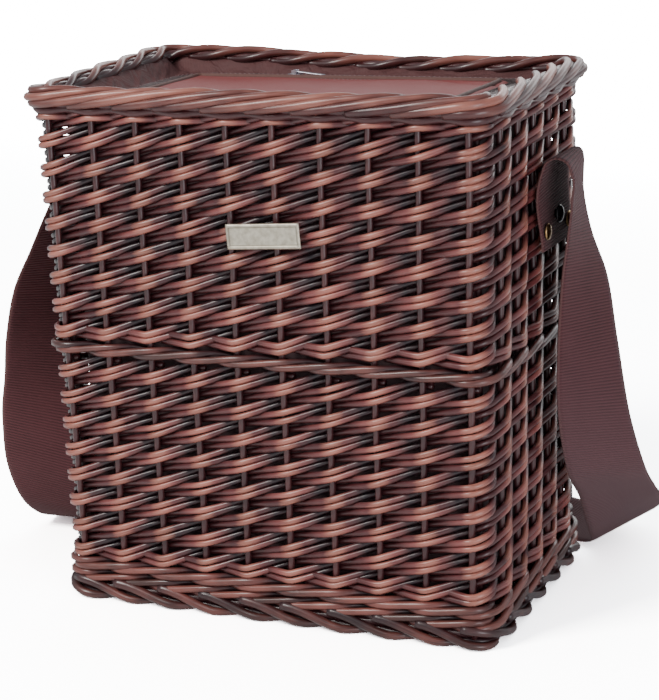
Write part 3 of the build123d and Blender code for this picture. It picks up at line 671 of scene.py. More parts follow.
def cloth(
    name, dark, light, across, along, roughness=0.75, sheen=0.3, depth=0.00012, wrinkle=0.0
):
    """Woven cloth: thread height and slubs mix two colours and raise the surface.

    Where wrinkle is set, a broad noise crumples the cloth as well, that deep.
    """
    finish = Finish(name)
    values = {"Across": across, "Along": along}
    weave = finish.node("ShaderNodeGroup", values, node_tree=cloth_threads).outputs
    lit = finish.math("MULTIPLY_ADD", weave["Slub"], 0.6, weave["Height"])
    lit = finish.level(lit, 0.0, 1.0, 0.0, 1.5)
    colour = finish.mix(lit, (*dark, 1), (*light, 1))
    finish.set(Base_Color=colour, Roughness=roughness, Sheen_Weight=sheen)
    creases = None
    if wrinkle:
        values = {"Vector": weave["Place"], "Scale": 70.0, "Detail": 4.0, "Distortion": 1.2}
        crumple = finish.node("ShaderNodeTexNoise", values)
        creases = finish.bump(crumple.outputs["Fac"], wrinkle)
    finish.bump(weave["Height"], depth, 0.8, creases)
    return finish


# Liner: the cooler bag that hangs inside the basket. Its outer cloth is dark brown and a
# little slack, and its floor lies on the woven base.
shell_low, shell_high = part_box("liner_shell")
shell_corner = 0.014
shell_bottom = shell_low.z + 0.0006


def way_length(half_width, half_depth, corner):
    """The length of the whole way round a rounded rectangle."""
    return 4 * (half_width + half_depth) - (8 - 2 * np.pi) * corner


def sheet_around(name, profile, half_width, half_depth, corner, points, ripple=0.0):
    """A sheet that goes round a rounded rectangle, with one row for each profile step.

    profile is rows of (outward, height). The ripple is three sines round the path, whose
    phases change from row to row, and it moves points in both directions.
    """
    turn = np.linspace(0, 1, points + 1)[:-1]
    profile = np.asarray(profile, float)
    flat, out = rounded_path(turn, half_width, half_depth, corner)
    row = np.arange(len(profile))[:, None]
    phase = 2 * np.pi * chance.random(3)
    wave = sum(
        np.sin(2 * np.pi * turn * count + phase[number] + row * (0.5 + 0.3 * number))
        for number, count in enumerate((23, 41, 67))
    )
    amount = ripple * np.sin(np.pi * row / max(len(profile) - 1, 1)) ** 0.5
    outward = profile[:, :1] + amount * wave / 3
    height = profile[:, 1:] + amount * np.roll(wave, 3, axis=1) / 3
    points_3d = np.concatenate([
        flat[None] + out[None] * outward[..., None],
        height[..., None],
    ], axis=-1)
    across = np.append(turn, 1.0) * way_length(half_width, half_depth, corner)
    grid = (1, len(profile), points + 1)
    return add_piece(
        name,
        points_3d[None],
        np.broadcast_to(across, grid),
        np.broadcast_to(distances(profile)[:, None], grid),
        caps=False,
    )


def thicken(piece, thickness, offset=-1):
    """Gives a sheet its thickness on the side that its faces turn away from, or on the other."""
    skin = piece.modifiers.new("thickness", "SOLIDIFY")
    skin.thickness = thickness
    skin.offset = offset


shell_profile = [(step, shell_bottom) for step in np.linspace(-0.07, -0.004, 8)]
shell_profile += [(-0.0002, step) for step in np.linspace(shell_bottom, shell_high.z, 26)]
liner_cloth = cloth("liner_cloth", (0.045, 0.022, 0.026), (0.12, 0.06, 0.065), 900, 900)
liner_shell = sheet_around(
    "liner_outer_cloth", shell_profile, shell_high.x, shell_high.y, shell_corner, 220, 0.0004
)
thicken(liner_shell, 0.0006)
dress(liner_shell, liner_cloth, "liner_fabric", "basket", "liner_shell")


# Lining: the pale waterproof film inside the foam, smooth with soft creases.
lining_low, lining_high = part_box("liner_lining")
lining_corner = 0.0078


def mottled(
    name, scale, detail, dark, light, roughness,
    height=0.0, strength=1.0, metallic=0.0, ends=(0.0, 1.0)
):
    """A finish whose colour wanders from dark to light, at the noise values given as ends.

    roughness is one value or a pair that the noise runs between. height raises the noise.
    """
    finish = Finish(name)
    cloud = finish.noise(finish.node("ShaderNodeTexCoord").outputs["Object"], scale, detail)
    shine = finish.level(cloud, *roughness) if isinstance(roughness, tuple) else roughness
    colour = finish.ramp(cloud, (ends[0], dark), (ends[1], light))
    finish.set(Base_Color=colour, Roughness=shine, Metallic=metallic)
    if height:
        finish.bump(cloud, height, strength)
    return finish


lining_profile = [(step, lining_low.z + 0.0008) for step in np.linspace(-0.063, -0.006, 8)]
lining_steps = np.linspace(lining_low.z + 0.004, lining_high.z - 0.0005, 24)
lining_profile += [(-0.001, step) for step in lining_steps]
lining_film = mottled(
    "lining_film", 60.0, 5.0, (0.42, 0.43, 0.45), (0.62, 0.63, 0.65), 0.28, 0.0006, 0.5
)
liner_lining = sheet_around(
    "lining_film_sheet", lining_profile, lining_high.x, lining_high.y, lining_corner, 200, 0.0006
)
thicken(liner_lining, 0.0007)
dress(liner_lining, lining_film, "lining", "basket", "liner_lining")


# Foam: pale closed-cell panels between the liner's cloth and the lining, and inside the lid.
# They keep their plain shapes and take on the look of fine cells.
def cover(finish, *names):
    """Gives plain pieces a finish in place of their own."""
    for name in names:
        materials = frame["nodes"][name].data.materials
        materials.clear()
        materials.append(finish.material)


foam_cells = Finish("foam_cells")
foam_places = foam_cells.node("ShaderNodeTexCoord").outputs["Object"]
cells = foam_cells.node("ShaderNodeTexVoronoi", {"Vector": foam_places, "Scale": 900.0})
cell_depth = cells.outputs["Distance"]
cell_tint = foam_cells.ramp(cell_depth, (0.0, (0.6, 0.6, 0.57)), (1.0, (0.75, 0.75, 0.72)))
foam_cells.set(Base_Color=cell_tint, Roughness=0.8)
foam_cells.bump(cell_depth, 0.0003, 0.6)
cover(foam_cells, "foam_floor", "foam_front", "foam_back", "foam_left", "foam_right", "lid_foam")


# Liner border: a frame of the same slack cloth, sewn round the mouth. It lies crumpled
# between the zip and the willow rim, and its outer edge rises along the inside of the rim
# and fills the rim's four corners.
border_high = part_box("liner_border")[1]
lid_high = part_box("lid_panel")[1]
lid_corner = 0.01
mouth_gap = 0.004
mouth_half_width = lid_high.x + mouth_gap
mouth_half_depth = lid_high.y + mouth_gap
mouth_corner = lid_corner + mouth_gap
border_reach = border_high.x - mouth_half_width
border_rise = 0.0046
border_columns = 420
tuck_side = 0.003
tuck_end = 0.0045
tuck_corner = 0.006
border_cloth = cloth(
    "border_cloth", (0.055, 0.018, 0.019), (0.155, 0.056, 0.055), 1100, 1100, 0.7, 0.0,
    wrinkle=0.0035,
)
border_profile = [
    (step * border_reach, border_high.z + border_rise * ease(step, 0.25, 1.0))
    for step in np.linspace(0, 1, 22)
]
liner_border = sheet_around(
    "liner_border_cloth", border_profile, mouth_half_width, mouth_half_depth, mouth_corner,
    border_columns, 0.0006,
)
border_points = np.zeros(3 * len(liner_border.data.vertices), np.float32)
liner_border.data.vertices.foreach_get("co", border_points)
border_points = border_points.reshape(-1, 3)
border_out = np.maximum(
    np.abs(border_points[:, 0]) - mouth_half_width, np.abs(border_points[:, 1]) - mouth_half_depth
)
border_lift = ease(border_out, 0.3 * border_reach, border_reach)
border_points[:, 2] += 1.1 * hand_lift(border_points) * border_lift
border_turn = np.tile(np.linspace(0, 1, border_columns + 1)[:-1], len(border_profile))
inner_flat, inner_out = rounded_path(
    border_turn, mouth_half_width, mouth_half_depth, mouth_corner
)
outer_flat, _ = rounded_path(
    border_turn, rim_high.x - rim_band + tuck_side, rim_high.y - rim_band + tuck_end, tuck_corner
)
border_part = np.sum((border_points[:, :2] - inner_flat) * inner_out, axis=1) / border_reach
border_shift = outer_flat - inner_flat - inner_out * border_reach
border_points[:, :2] += border_shift * border_part[:, None]
liner_border.data.vertices.foreach_set("co", border_points.reshape(-1))
liner_border.data.update()
thicken(liner_border, 0.001, offset=1)
dress(liner_border, border_cloth, "liner_fabric", "basket", "liner_border")


# Zip: a ribbed tape sewn to the border, with a row of moulded teeth on its edge, and a
# second row on the edge of the lid. The rows run round the left, back and right of the mouth.
tape_low, tape_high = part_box("zip_tape")
row_low, row_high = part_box("border_zip_teeth")


def open_share(half_width, half_depth, corner, front):
    """The share of the way round where the right side reaches a depth, and the way's length."""
    total = way_length(half_width, half_depth, corner)
    reach = half_width - corner + np.pi * corner / 2 + (front + half_depth - corner)
    return reach / total, total


def band_around(name, profile, half_width, half_depth, corner, front, points, ripple=0.0):
    """A strip along the path, open at the front, with a closed profile of (outward, height)."""
    start, total = open_share(half_width, half_depth, corner, front)
    share = np.linspace(start, 1 - start, points)
    flat, out = rounded_path(share, half_width, half_depth, corner)
    profile = np.asarray(profile, float)
    wave = ripple * np.sin(share * total / 0.0021 + 3 * np.sin(share * 90))
    outward = profile[None, :, 0] + 0 * wave[:, None]
    height = profile[None, :, 1] + wave[:, None]
    points_3d = np.concatenate([
        flat[:, None] + out[:, None] * outward[..., None],
        height[..., None],
    ], axis=-1)
    edge = distances(profile)
    edge = np.append(edge, edge[-1])
    grid = (1, points, len(profile) + 1)
    return add_piece(
        name,
        points_3d[None],
        np.broadcast_to(edge, grid),
        np.broadcast_to((share * total)[None, :, None], grid),
    )


def mend_normals(piece):
    """Turns every face of a closed mesh outwards."""
    shape = bmesh.new()
    shape.from_mesh(piece.data)
    bmesh.ops.recalc_face_normals(shape, faces=shape.faces)
    shape.to_mesh(piece.data)
    shape.free()


tape_width = tape_high.x - mouth_half_width
tape_top = tape_high.z
tape_profile = [
    (-0.0006, border_high.z - 0.0004), (-0.0006, tape_top - 0.0002), (0.0008, tape_top),
    (tape_width * 0.5, tape_top - 0.0002), (tape_width - 0.0006, tape_top),
    (tape_width, tape_top - 0.0003), (tape_width, border_high.z - 0.0004),
]
tape_cloth = cloth(
    "zip_tape_cloth", (0.03, 0.014, 0.014), (0.085, 0.04, 0.04), 500, 1400, 0.55, 0.1
)
zip_tape = band_around(
    "zip_tape_cloth_strip", tape_profile, mouth_half_width, mouth_half_depth, mouth_corner,
    tape_low.y, 420, 0.00025,
)
mend_normals(zip_tape)
dress(zip_tape, tape_cloth, "zip_tape", "basket", "zip_tape")
tooth_pitch = 0.0016
tooth_reach = 0.0018
tooth_half_length = 0.00058
tooth_half_height = 0.00135
tooth_plastic = mottled(
    "zip_teeth_plastic", 400.0, 2.0, (0.02, 0.01, 0.01), (0.05, 0.025, 0.024), 0.38, 0.0001, 0.5
)


def zip_teeth(name, half_width, half_depth, corner, front, offset):
    """Small rounded blocks along the path, one at each pitch, that stick out from it.

    Each tooth is a ring of eight points round its section, at four steps outward, and the
    ring shrinks towards both ends.
    """
    start, total = open_share(half_width, half_depth, corner, front)
    count = int((1 - 2 * start) * total / tooth_pitch)
    share = start + (np.arange(count) + offset) * tooth_pitch / total
    flat, out = rounded_path(share, half_width, half_depth, corner)
    forward = np.stack([-out[:, 1], out[:, 0]], axis=-1)
    angle = np.pi / 8 + np.arange(8) * np.pi / 4
    steps = np.array((0.0, 0.15, 0.8, 1.0)) * tooth_reach
    shrink = np.array((0.75, 1.0, 1.0, 0.6))
    along = tooth_half_length * shrink[:, None] * np.cos(angle)
    tall = tooth_half_height * shrink[:, None] * np.sin(angle)
    height = (row_low.z + row_high.z) / 2 + tall
    flat_points = (
        flat[:, None, None]
        + out[:, None, None] * steps[None, :, None, None]
        + forward[:, None, None] * along[None, :, :, None]
    )
    height = np.broadcast_to(height, flat_points.shape[:-1])[..., None]
    sheets = np.concatenate([flat_points, height], axis=-1)
    zeros = np.zeros((count, len(steps), len(angle) + 1))
    piece = add_piece(name, sheets, zeros, zeros)
    mend_normals(piece)
    return piece


border_teeth = zip_teeth(
    "border_teeth", mouth_half_width - tooth_reach, mouth_half_depth - tooth_reach,
    mouth_corner - tooth_reach, tape_low.y, 0.0,
)
dress(border_teeth, tooth_plastic, "zip", "basket", "border_zip_teeth")
lid_teeth = zip_teeth("lid_teeth", lid_high.x, lid_high.y, lid_corner, tape_low.y, 0.5)
dress(lid_teeth, tooth_plastic, "zip", "lid", "lid_zip_teeth")


# Lid: a flap of satin cloth over foam. It is slightly crowned, with a raised binding sewn
# near its edge, and one soft crease where it has been folded back.
lid_rows = np.concatenate([np.linspace(0.02, 0.9, 34), np.linspace(0.92, 1.0, 7)])[:, None]
lid_turn = np.linspace(0, 1, 301)[:-1]
lid_flat, _ = rounded_path(lid_turn, lid_high.x, lid_high.y, lid_corner)
lid_grid = lid_flat[None] * lid_rows[..., None]
lid_x, lid_y = lid_grid[..., 0], lid_grid[..., 1]
crown = -0.0014 * (1 - lid_rows ** 3)
slack = 0.0004 * np.sin(lid_x * 52 + 2 * np.sin(lid_y * 40)) * np.cos(lid_y * 47 + lid_x * 13)
crease_x, crease_y = lid_x - 0.094, lid_y - 0.041
crease_line = crease_x * 0.35 + crease_y * 0.94
crease_span = np.exp(-(crease_x / 0.03) ** 2 - (crease_y / 0.03) ** 2)
crease = -0.001 * crease_span * np.exp(-(crease_line / 0.0022) ** 2)
edge_fall = -0.0012 * ease(lid_rows, 0.975, 1.0)
lid_top = lid_high.z + crown + slack + crease + edge_fall
lid_sheet = np.stack([lid_x, lid_y, lid_top], axis=-1)
lid_u = (np.append(lid_flat[:, 0], lid_flat[0, 0]) * lid_rows)[None]
lid_v = (np.append(lid_flat[:, 1], lid_flat[0, 1]) * lid_rows)[None]
lid_cloth = cloth(
    "lid_satin", (0.2, 0.036, 0.035), (0.34, 0.07, 0.066), 1800, 1800, 0.6, 0.0, 0.00006
)
lid_panel = add_piece("lid_top_cloth", lid_sheet[None], lid_u, lid_v)
thicken(lid_panel, 0.0009)
dress(lid_panel, lid_cloth, "lid_fabric", "lid", "lid_panel")


# Lid lining: the same waterproof film under the lid's foam, drawn into shallow quilting by
# the stitching.
under_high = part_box("lid_lining")[1]
quilt_pitch = 0.045
under_quilt = 0.0005 * (
    np.cos(lid_x * 2 * np.pi / quilt_pitch) * np.cos(lid_y * 2 * np.pi / quilt_pitch)
)
under_height = under_high.z - 0.0006 + under_quilt * (1 - lid_rows ** 8)
under_sheet = np.stack([lid_x, lid_y, under_height], axis=-1)[:, ::-1]
lid_lining = add_piece("lid_film", under_sheet[None], lid_u[..., ::-1], lid_v[..., ::-1])
thicken(lid_lining, 0.0006)
dress(lid_lining, lining_film, "lining", "lid", "lid_lining")


# Lid binding: a folded tape sewn on as a raised welt round the lid, near its edge, and left
# off at the hinge.
welt_low, welt_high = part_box("lid_binding")
welt_inset = 0.0045
welt_width = 0.0035
welt_angle = np.radians(np.linspace(-20, 200, 12))
welt_rise = np.maximum(np.sin(welt_angle), -0.3)
welt_profile = np.stack([
    -welt_width / 2 + welt_width / 2 * np.cos(welt_angle),
    welt_low.z + 0.0001 + (welt_high.z - welt_low.z + 0.0006) * welt_rise,
], axis=-1)
binding_cloth = cloth(
    "binding_tape", (0.07, 0.025, 0.02), (0.17, 0.07, 0.055), 1500, 700, 0.6, 0.1
)
lid_binding = band_around(
    "lid_binding_tape", welt_profile, lid_high.x - welt_inset, lid_high.y - welt_inset,
    lid_corner - welt_inset, welt_low.y, 360,
)
mend_normals(lid_binding)
dress(lid_binding, binding_cloth, "binding", "lid", "lid_binding")


# Hinge strip: a doubled tape sewn along the front of the mouth, over the gap, that the lid
# folds on.
hinge_low, hinge_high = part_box("lid_hinge_strip")
strip_x = np.linspace(hinge_low.x, hinge_high.x, 160)
strip_ring = np.array((
    (hinge_low.y, 0.0), (hinge_low.y + 0.0006, 1.0), ((hinge_low.y + hinge_high.y) / 2, 0.75),
    (hinge_high.y - 0.0006, 1.0), (hinge_high.y, 0.0), ((hinge_low.y + hinge_high.y) / 2, -0.2),
))
strip_wave = 0.00012 * np.sin(strip_x / 0.0016)
strip_points = np.stack(np.broadcast_arrays(
    strip_x[:, None],
    strip_ring[:, 0],
    hinge_low.z + (hinge_high.z - hinge_low.z) * strip_ring[:, 1] + strip_wave[:, None],
), axis=-1)
strip_grid = (1, len(strip_x), len(strip_ring) + 1)
strip_across = np.broadcast_to(np.linspace(0, 0.02, strip_grid[2]), strip_grid)
strip_along = np.broadcast_to(strip_x[:, None], strip_grid)
hinge_strip = add_piece("hinge_tape", strip_points[None], strip_across, strip_along)
mend_normals(hinge_strip)
dress(hinge_strip, binding_cloth, "binding", "basket", "lid_hinge_strip")


# Stitches: lines of pale brown thread that hold the tape, the border and the binding, each
# stitch a short bead of thread half sunk in the cloth.
sewing_thread = mottled(
    "sewing_thread", 1500.0, 2.0, (0.16, 0.09, 0.1), (0.36, 0.24, 0.23), 0.6
)
thread_radius = 0.0003
bead_half = 0.38


def stitches(name, half_width, half_depth, corner, front, height, pitch=0.0034):
    """Short beads of thread along the path, each a rod that dips at both ends.

    A bead reaches from its middle over a share of the pitch each way.
    """
    start, total = open_share(half_width, half_depth, corner, front)
    count = int((1 - 2 * start) * total / pitch)
    bead = np.array((-bead_half, -0.2, 0.0, 0.2, bead_half))
    share = start + (np.arange(count)[:, None] + 0.5 + bead) * pitch / total
    flat, _ = rounded_path(share, half_width, half_depth, corner)
    tall = height - 0.0006 * (bead / bead_half) ** 2 + 0 * share
    paths = np.concatenate([flat, tall[..., None]], axis=-1)
    radii = thread_radius * (1 - 0.5 * (bead / bead_half) ** 4)
    return round_rods(name, paths, np.broadcast_to(radii, share.shape), sides=5)


tape_inset = 0.0055
tape_stitches = stitches(
    "tape_stitches", mouth_half_width + tape_inset, mouth_half_depth + tape_inset,
    mouth_corner + tape_inset, tape_low.y, tape_top + 0.0001,
)
dress(tape_stitches, sewing_thread, "binding", "basket")
seam_inset = 0.0092
binding_stitches = stitches(
    "binding_stitches", lid_high.x - seam_inset, lid_high.y - seam_inset, 0.002, welt_low.y,
    lid_high.z + 0.0002, 0.003,
)
dress(binding_stitches, sewing_thread, "binding", "lid")


# Zip slider, its pull and the end stops: cast alloy, tumbled to a satin shine. The pull is a
# slim tongue that hangs from the slider's crown and droops on to the border.
def joint_place(name):
    """The point that a joint turns about."""
    found = next(joint for joint in frame["joints"] if joint["name"] == name)
    return np.array(found["pos_m"], float)


zip_alloy = mottled(
    "zip_alloy", 700.0, 4.0, (0.42, 0.4, 0.46), (0.72, 0.69, 0.75), (0.28, 0.45), 0.00006, 0.4,
    metallic=0.85,
)
cover(zip_alloy, "zip_slider", "zip_stops")
pull_root = joint_place("pull_turn")
pull_droop = np.radians(5.5)
pull_along = np.array((np.cos(pull_droop), 0, -np.sin(pull_droop)))
pull_up = np.array((np.sin(pull_droop), 0, np.cos(pull_droop)))
pull_length = 0.021
pull_heel = 0.0012
pull_steps = np.linspace(0, 1, 28)
pull_belly = ease(pull_steps, 0.0, 0.6) * (1 - 0.35 * ease(pull_steps, 0.75, 1.0))
pull_end = np.clip((pull_steps - 0.93) / 0.075, 0, 0.99)
pull_half = (0.0011 + 0.0007 * pull_belly) * np.sqrt(1 - pull_end ** 2)
pull_thick = 0.0005 + 0.00055 * (1 - ease(pull_steps, 0.0, 0.12))
pull_angle = 2 * np.pi * np.arange(16) / 16
pull_wide = np.sign(np.cos(pull_angle)) * np.abs(np.cos(pull_angle)) ** 0.5
pull_tall = np.sign(np.sin(pull_angle)) * np.abs(np.sin(pull_angle)) ** 0.6
pull_sheet = (
    pull_root
    + (pull_steps * (pull_length + pull_heel) - pull_heel)[:, None, None] * pull_along
    + (pull_half[:, None] * pull_wide)[..., None] * np.array((0, 1, 0))
    + (pull_thick[:, None] * pull_tall)[..., None] * pull_up
)
pull_uv = np.zeros((1, len(pull_steps), len(pull_angle) + 1))
zip_pull = add_piece("zip_pull_alloy", pull_sheet[None], pull_uv, pull_uv)
mend_normals(zip_pull)
dress(zip_pull, zip_alloy, "zip_metal", "pull", "zip_pull")


# Strap: one length of ribbed cotton webbing. Each end is studded flat to the side wall,
# folds over above the stud and hangs down, and the loop lies on the floor behind.
strap_width = 0.057
strap_thickness = 0.002
stud_place = joint_place("strap_swing")
inner_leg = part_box("strap_studs")[1].x - 0.0043
strap_edges = (-strap_width / 2, strap_width / 2)
fold_arcs = {1: ((9, 28.5), (4, 31.5)), -1: ((5, 30.5), (3.2, 29.8))}
right_leg = (
    ((17.9, -28.5, 1.05), (7.9, 28.5, 1.046)),
    ((14.9, -27, 0.971), (11.9, 32, 0.938)),
    ((9.9, -24, 0.858), (20.9, 34, 0.829)),
    ((6.4, -22.5, 0.675), (28.5, 32, 0.658)),
    ((5.4, -21.5, 0.5), (38, 29, 0.465)),
    ((5.9, -5.5, 0.338), (44.4, 40.5, 0.314)),
    ((4.9, 25.5, 0.221), (43.4, 70, 0.213)),
    ((2.4, 58.5, 0.085), (37.4, 98, 0.142)),
)
floor_run = (
    ((1.014, -2.5, 6), (1.226, 41.5, 18)),
    ((0.877, 5.5, 2.5), (1.02, 57.5, 9)),
    ((0.63, 7.5, 0.8), (0.712, 61.5, 14)),
    ((0.342, 6.5, 0.8), (0.384, 54.5, 33)),
    ((0.034, 5.5, 0.8), (0.048, 37.5, 49)),
    ((-0.308, 5.5, 0.8), (-0.301, 24.5, 56)),
    ((-0.65, 7.5, 0.8), (-0.644, 19.5, 57)),
    ((-0.96, 12.5, 0.8), (-0.925, 21.5, 57)),
    ((-1.22, 15.5, 0.8), (-1.096, 16.5, 55)),
    ((-1.41, 3.5, 0.8), (-1.17, 1.5, 47)),
    ((-1.534, -20.5, 1.2), (-1.205, -20.5, 31)),
    ((-1.582, -48.5, 3), (-1.205, -43.5, 15)),
    ((-1.568, -74.5, 8), (-1.185, -66.5, 7)),
)
left_leg = (
    ((81.4, -10.5, 0.092), (25.4, -2.5, 0.058)),
    ((87.9, -17.5, 0.2), (31.4, -12.5, 0.158)),
    ((89.4, -16.5, 0.342), (35.4, -6.5, 0.3)),
    ((85.4, -16.5, 0.467), (37.4, 11.5, 0.425)),
    ((78.4, -20.5, 0.6), (39.4, 20, 0.567)),
    ((66.9, -25, 0.742), (35.4, 24, 0.713)),
    ((51.4, -28, 0.85), (27.4, 27, 0.833)),
    ((35.4, -29.5, 0.963), (20.4, 28.5, 0.946)),
    ((21.4, -28.5, 1.058), (12.4, 28.5, 1.033)),
)


def leg_rung(side, place):
    """A point of a hanging leg: millimetres out and along, and a share of the stud's height."""
    out, along, share = place
    return (side * (inner_leg + out / 1000), stud_place[1] + along / 1000, stud_place[2] * share)


def floor_rung(place):
    """A point behind the basket: a share of the foot's half width, and millimetres."""
    share, back, up = place
    return (foot_high.x * share, rim_high.y + back / 1000, up / 1000)


def fold_rung(side, turn):
    """Both ends of a rung on the fold above a stud, each edge on an arc of its own."""
    ends = []
    for (radius, centre), along in zip(fold_arcs[side], strap_edges):
        out = radius / 1000 * (1 - np.cos(np.radians(turn)))
        rise = (centre + radius * np.sin(np.radians(turn))) / 1000
        ends.append((side * (inner_leg + out), stud_place[1] + along, stud_place[2] + rise))
    return ends


def strap_end(side):
    """Both ends of the rung where the webbing ends below its stud."""
    height = stud_place[2] - 0.018
    return [(side * inner_leg, stud_place[1] + along, height) for along in strap_edges]


rungs = [strap_end(1)] + [fold_rung(1, turn) for turn in (0, 45, 90, 135, 180)]
rungs += [[leg_rung(1, near), leg_rung(1, far)] for near, far in right_leg]
rungs += [[floor_rung(near), floor_rung(far)] for near, far in floor_run]
rungs += [[leg_rung(-1, near), leg_rung(-1, far)] for near, far in left_leg]
rungs += [fold_rung(-1, turn) for turn in (135, 90, 45, 0)] + [strap_end(-1)]
rungs = np.array(rungs)


def smooth_route(points, spacing):
    """A smooth line through points, as cubic Hermite spans over the chord lengths.

    Each point's slope is the mean of its two chords' slopes, weighted by the other's length.
    """
    chords = np.diff(points, axis=0)
    lengths = np.linalg.norm(chords, axis=1)
    slopes = chords / lengths[:, None]
    middle = slopes[:-1] * lengths[1:, None] + slopes[1:] * lengths[:-1, None]
    middle /= (lengths[1:] + lengths[:-1])[:, None]
    tangents = np.concatenate([slopes[:1], middle, slopes[-1:]])
    knots = np.concatenate([[0], np.cumsum(lengths)])
    at = np.linspace(0, knots[-1], int(knots[-1] / spacing))
    span = np.clip(np.searchsorted(knots, at, side="right") - 1, 0, len(lengths) - 1)
    part = ((at - knots[span]) / lengths[span])[:, None]
    size = lengths[span][:, None]
    return (
        (2 * part**3 - 3 * part**2 + 1) * points[span]
        + (part**3 - 2 * part**2 + part) * size * tangents[span]
        + (3 * part**2 - 2 * part**3) * points[span + 1]
        + (part**3 - part**2) * size * tangents[span + 1]
    )


rung_middles = rungs.mean(axis=1)
rung_across = rungs[:, 1] - rungs[:, 0]
rung_across /= np.linalg.norm(rung_across, axis=1)[:, None]
route = smooth_route(np.concatenate([rung_middles, rung_across * 0.03], axis=1), 0.0022)
strap_middle = route[:, :3]
strap_across = route[:, 3:] / np.linalg.norm(route[:, 3:], axis=1)[:, None]
strap_forward = np.gradient(strap_middle, axis=0)
strap_forward /= np.linalg.norm(strap_forward, axis=1)[:, None]
strap_normal = np.cross(strap_across, strap_forward)
strap_normal /= np.linalg.norm(strap_normal, axis=1)[:, None]
section_turn = np.linspace(-1, 1, 15)
section_bead = strap_thickness / 2 * (0.72 + 0.28 * ease(np.abs(section_turn), 0.86, 0.97))
section_edge = np.clip((np.abs(section_turn) - 0.97) / 0.032, 0, 0.98)
section_bead = section_bead * np.sqrt(1 - section_edge ** 2)
section_across = np.concatenate([section_turn, section_turn[::-1]]) * strap_width / 2
section_out = np.concatenate([section_bead, -section_bead[::-1]])
strap_sheet = (
    strap_middle[:, None]
    + strap_across[:, None] * section_across[None, :, None]
    + strap_normal[:, None] * section_out[None, :, None]
)
strap_run = distances(strap_middle)
strap_grid = (1, len(route), len(section_across) + 1)
strap_u = np.append(section_across, section_across[0]) + strap_width / 2
strap_u = np.broadcast_to(strap_u, strap_grid)
strap_v = np.broadcast_to(strap_run[:, None], strap_grid)
rib_pitch = 0.0019
lit_patch_run = 0.31
selvedge_inside = strap_width / 2 - 0.0021
selvedge_outside = strap_width / 2 - 0.0012
webbing = Finish("strap_webbing")
web_uv = webbing.node("ShaderNodeUVMap", uv_map="metres").outputs["UV"]
web_split = webbing.node("ShaderNodeSeparateXYZ", {"Vector": web_uv}).outputs
rib_turns = webbing.math("MULTIPLY", web_split["Y"], 2 * np.pi / rib_pitch)
rib_height = webbing.math("MULTIPLY_ADD", webbing.math("SINE", rib_turns), 0.5, 0.5)
web_threads = webbing.node(
    "ShaderNodeGroup", {"Across": 1100, "Along": 526}, node_tree=cloth_threads
)
rib_sum = webbing.math("MULTIPLY_ADD", web_threads.outputs["Height"], 0.35, rib_height)
web_lit = webbing.math("MULTIPLY_ADD", webbing.noise(web_uv, 45.0, 4.0), 0.7, rib_height)
web_tint = webbing.ramp(web_lit, (0.1, (0.034, 0.0105, 0.012)), (1.0, (0.12, 0.036, 0.042)))
from_middle = webbing.math("SUBTRACT", web_split["X"], strap_width / 2)
at_edge = webbing.level(
    webbing.math("ABSOLUTE", from_middle), 0.0, 1.0, selvedge_inside, selvedge_outside
)
edged = webbing.mix(at_edge, web_tint, (0.14, 0.06, 0.058, 1))
# Painted light: the webbing is lighter round 0.31 m along, low on the right leg, where light from
# the floor falls on it.
from_lit_patch = webbing.math("ABSOLUTE", webbing.math("SUBTRACT", web_split["Y"], lit_patch_run))
lit_patch = webbing.level(from_lit_patch, 0.55, 0.0, 0.02, 0.16, interpolation_type="SMOOTHSTEP")
web_colour = webbing.mix(lit_patch, edged, (0.17, 0.095, 0.105, 1))
webbing.set(Base_Color=web_colour, Roughness=0.8, Sheen_Weight=0.08, Specular_IOR_Level=0.3)
webbing.bump(rib_sum, 0.0004, 0.9)
shoulder_strap = add_piece("strap_webbing_length", strap_sheet[None], strap_u, strap_v)
mend_normals(shoulder_strap)
dress(shoulder_strap, webbing, "webbing", "strap", "shoulder_strap")


# Rivets and studs: brass rivets with low domed heads hold the webbing's folded end, and a
# black domed stud through the wall on each side carries the strap.
def polished(name, dark, light, roughness, metallic):
    """Metal or enamel with a faint mottle in its colour and shine."""
    shine = (roughness - 0.06, roughness + 0.1)
    return mottled(name, 350.0, 5.0, dark, light, shine, 0.00008, 0.3, metallic, (0.3, 0.7))


def turned(name, centres, profile, sides=32):
    """Turned pieces about the X axis, one at each centre (side, y, z).

    profile is rows of (distance from the basket's middle, radius), carried round in a
    circle, and side is -1 or 1.
    """
    profile = np.asarray(profile, float)
    angle = 2 * np.pi * np.arange(sides) / sides
    centres = np.asarray(centres, float)
    x = centres[:, 0, None, None] * profile[None, :, 0, None] + 0 * angle
    y = centres[:, 1, None, None] + profile[None, :, 1, None] * np.cos(angle)
    z = centres[:, 2, None, None] + profile[None, :, 1, None] * np.sin(angle)
    sheets = np.stack([x, y, z], axis=-1)
    zeros = np.zeros(sheets.shape[:2] + (sides + 1,))
    piece = add_piece(name, sheets, zeros, zeros)
    mend_normals(piece)
    return piece


def domed(low, height, radius):
    """Profile rows of a dome on a flat seat, as a squashed circle with a small rolled edge."""
    angle = np.linspace(0, np.pi / 2, 10)[:-1]
    rows = [(low, radius * 0.97)]
    rows += [(low + height * (0.12 + 0.88 * np.sin(a)), radius * np.cos(a)) for a in angle]
    return rows + [(low + height, 0.00005)]


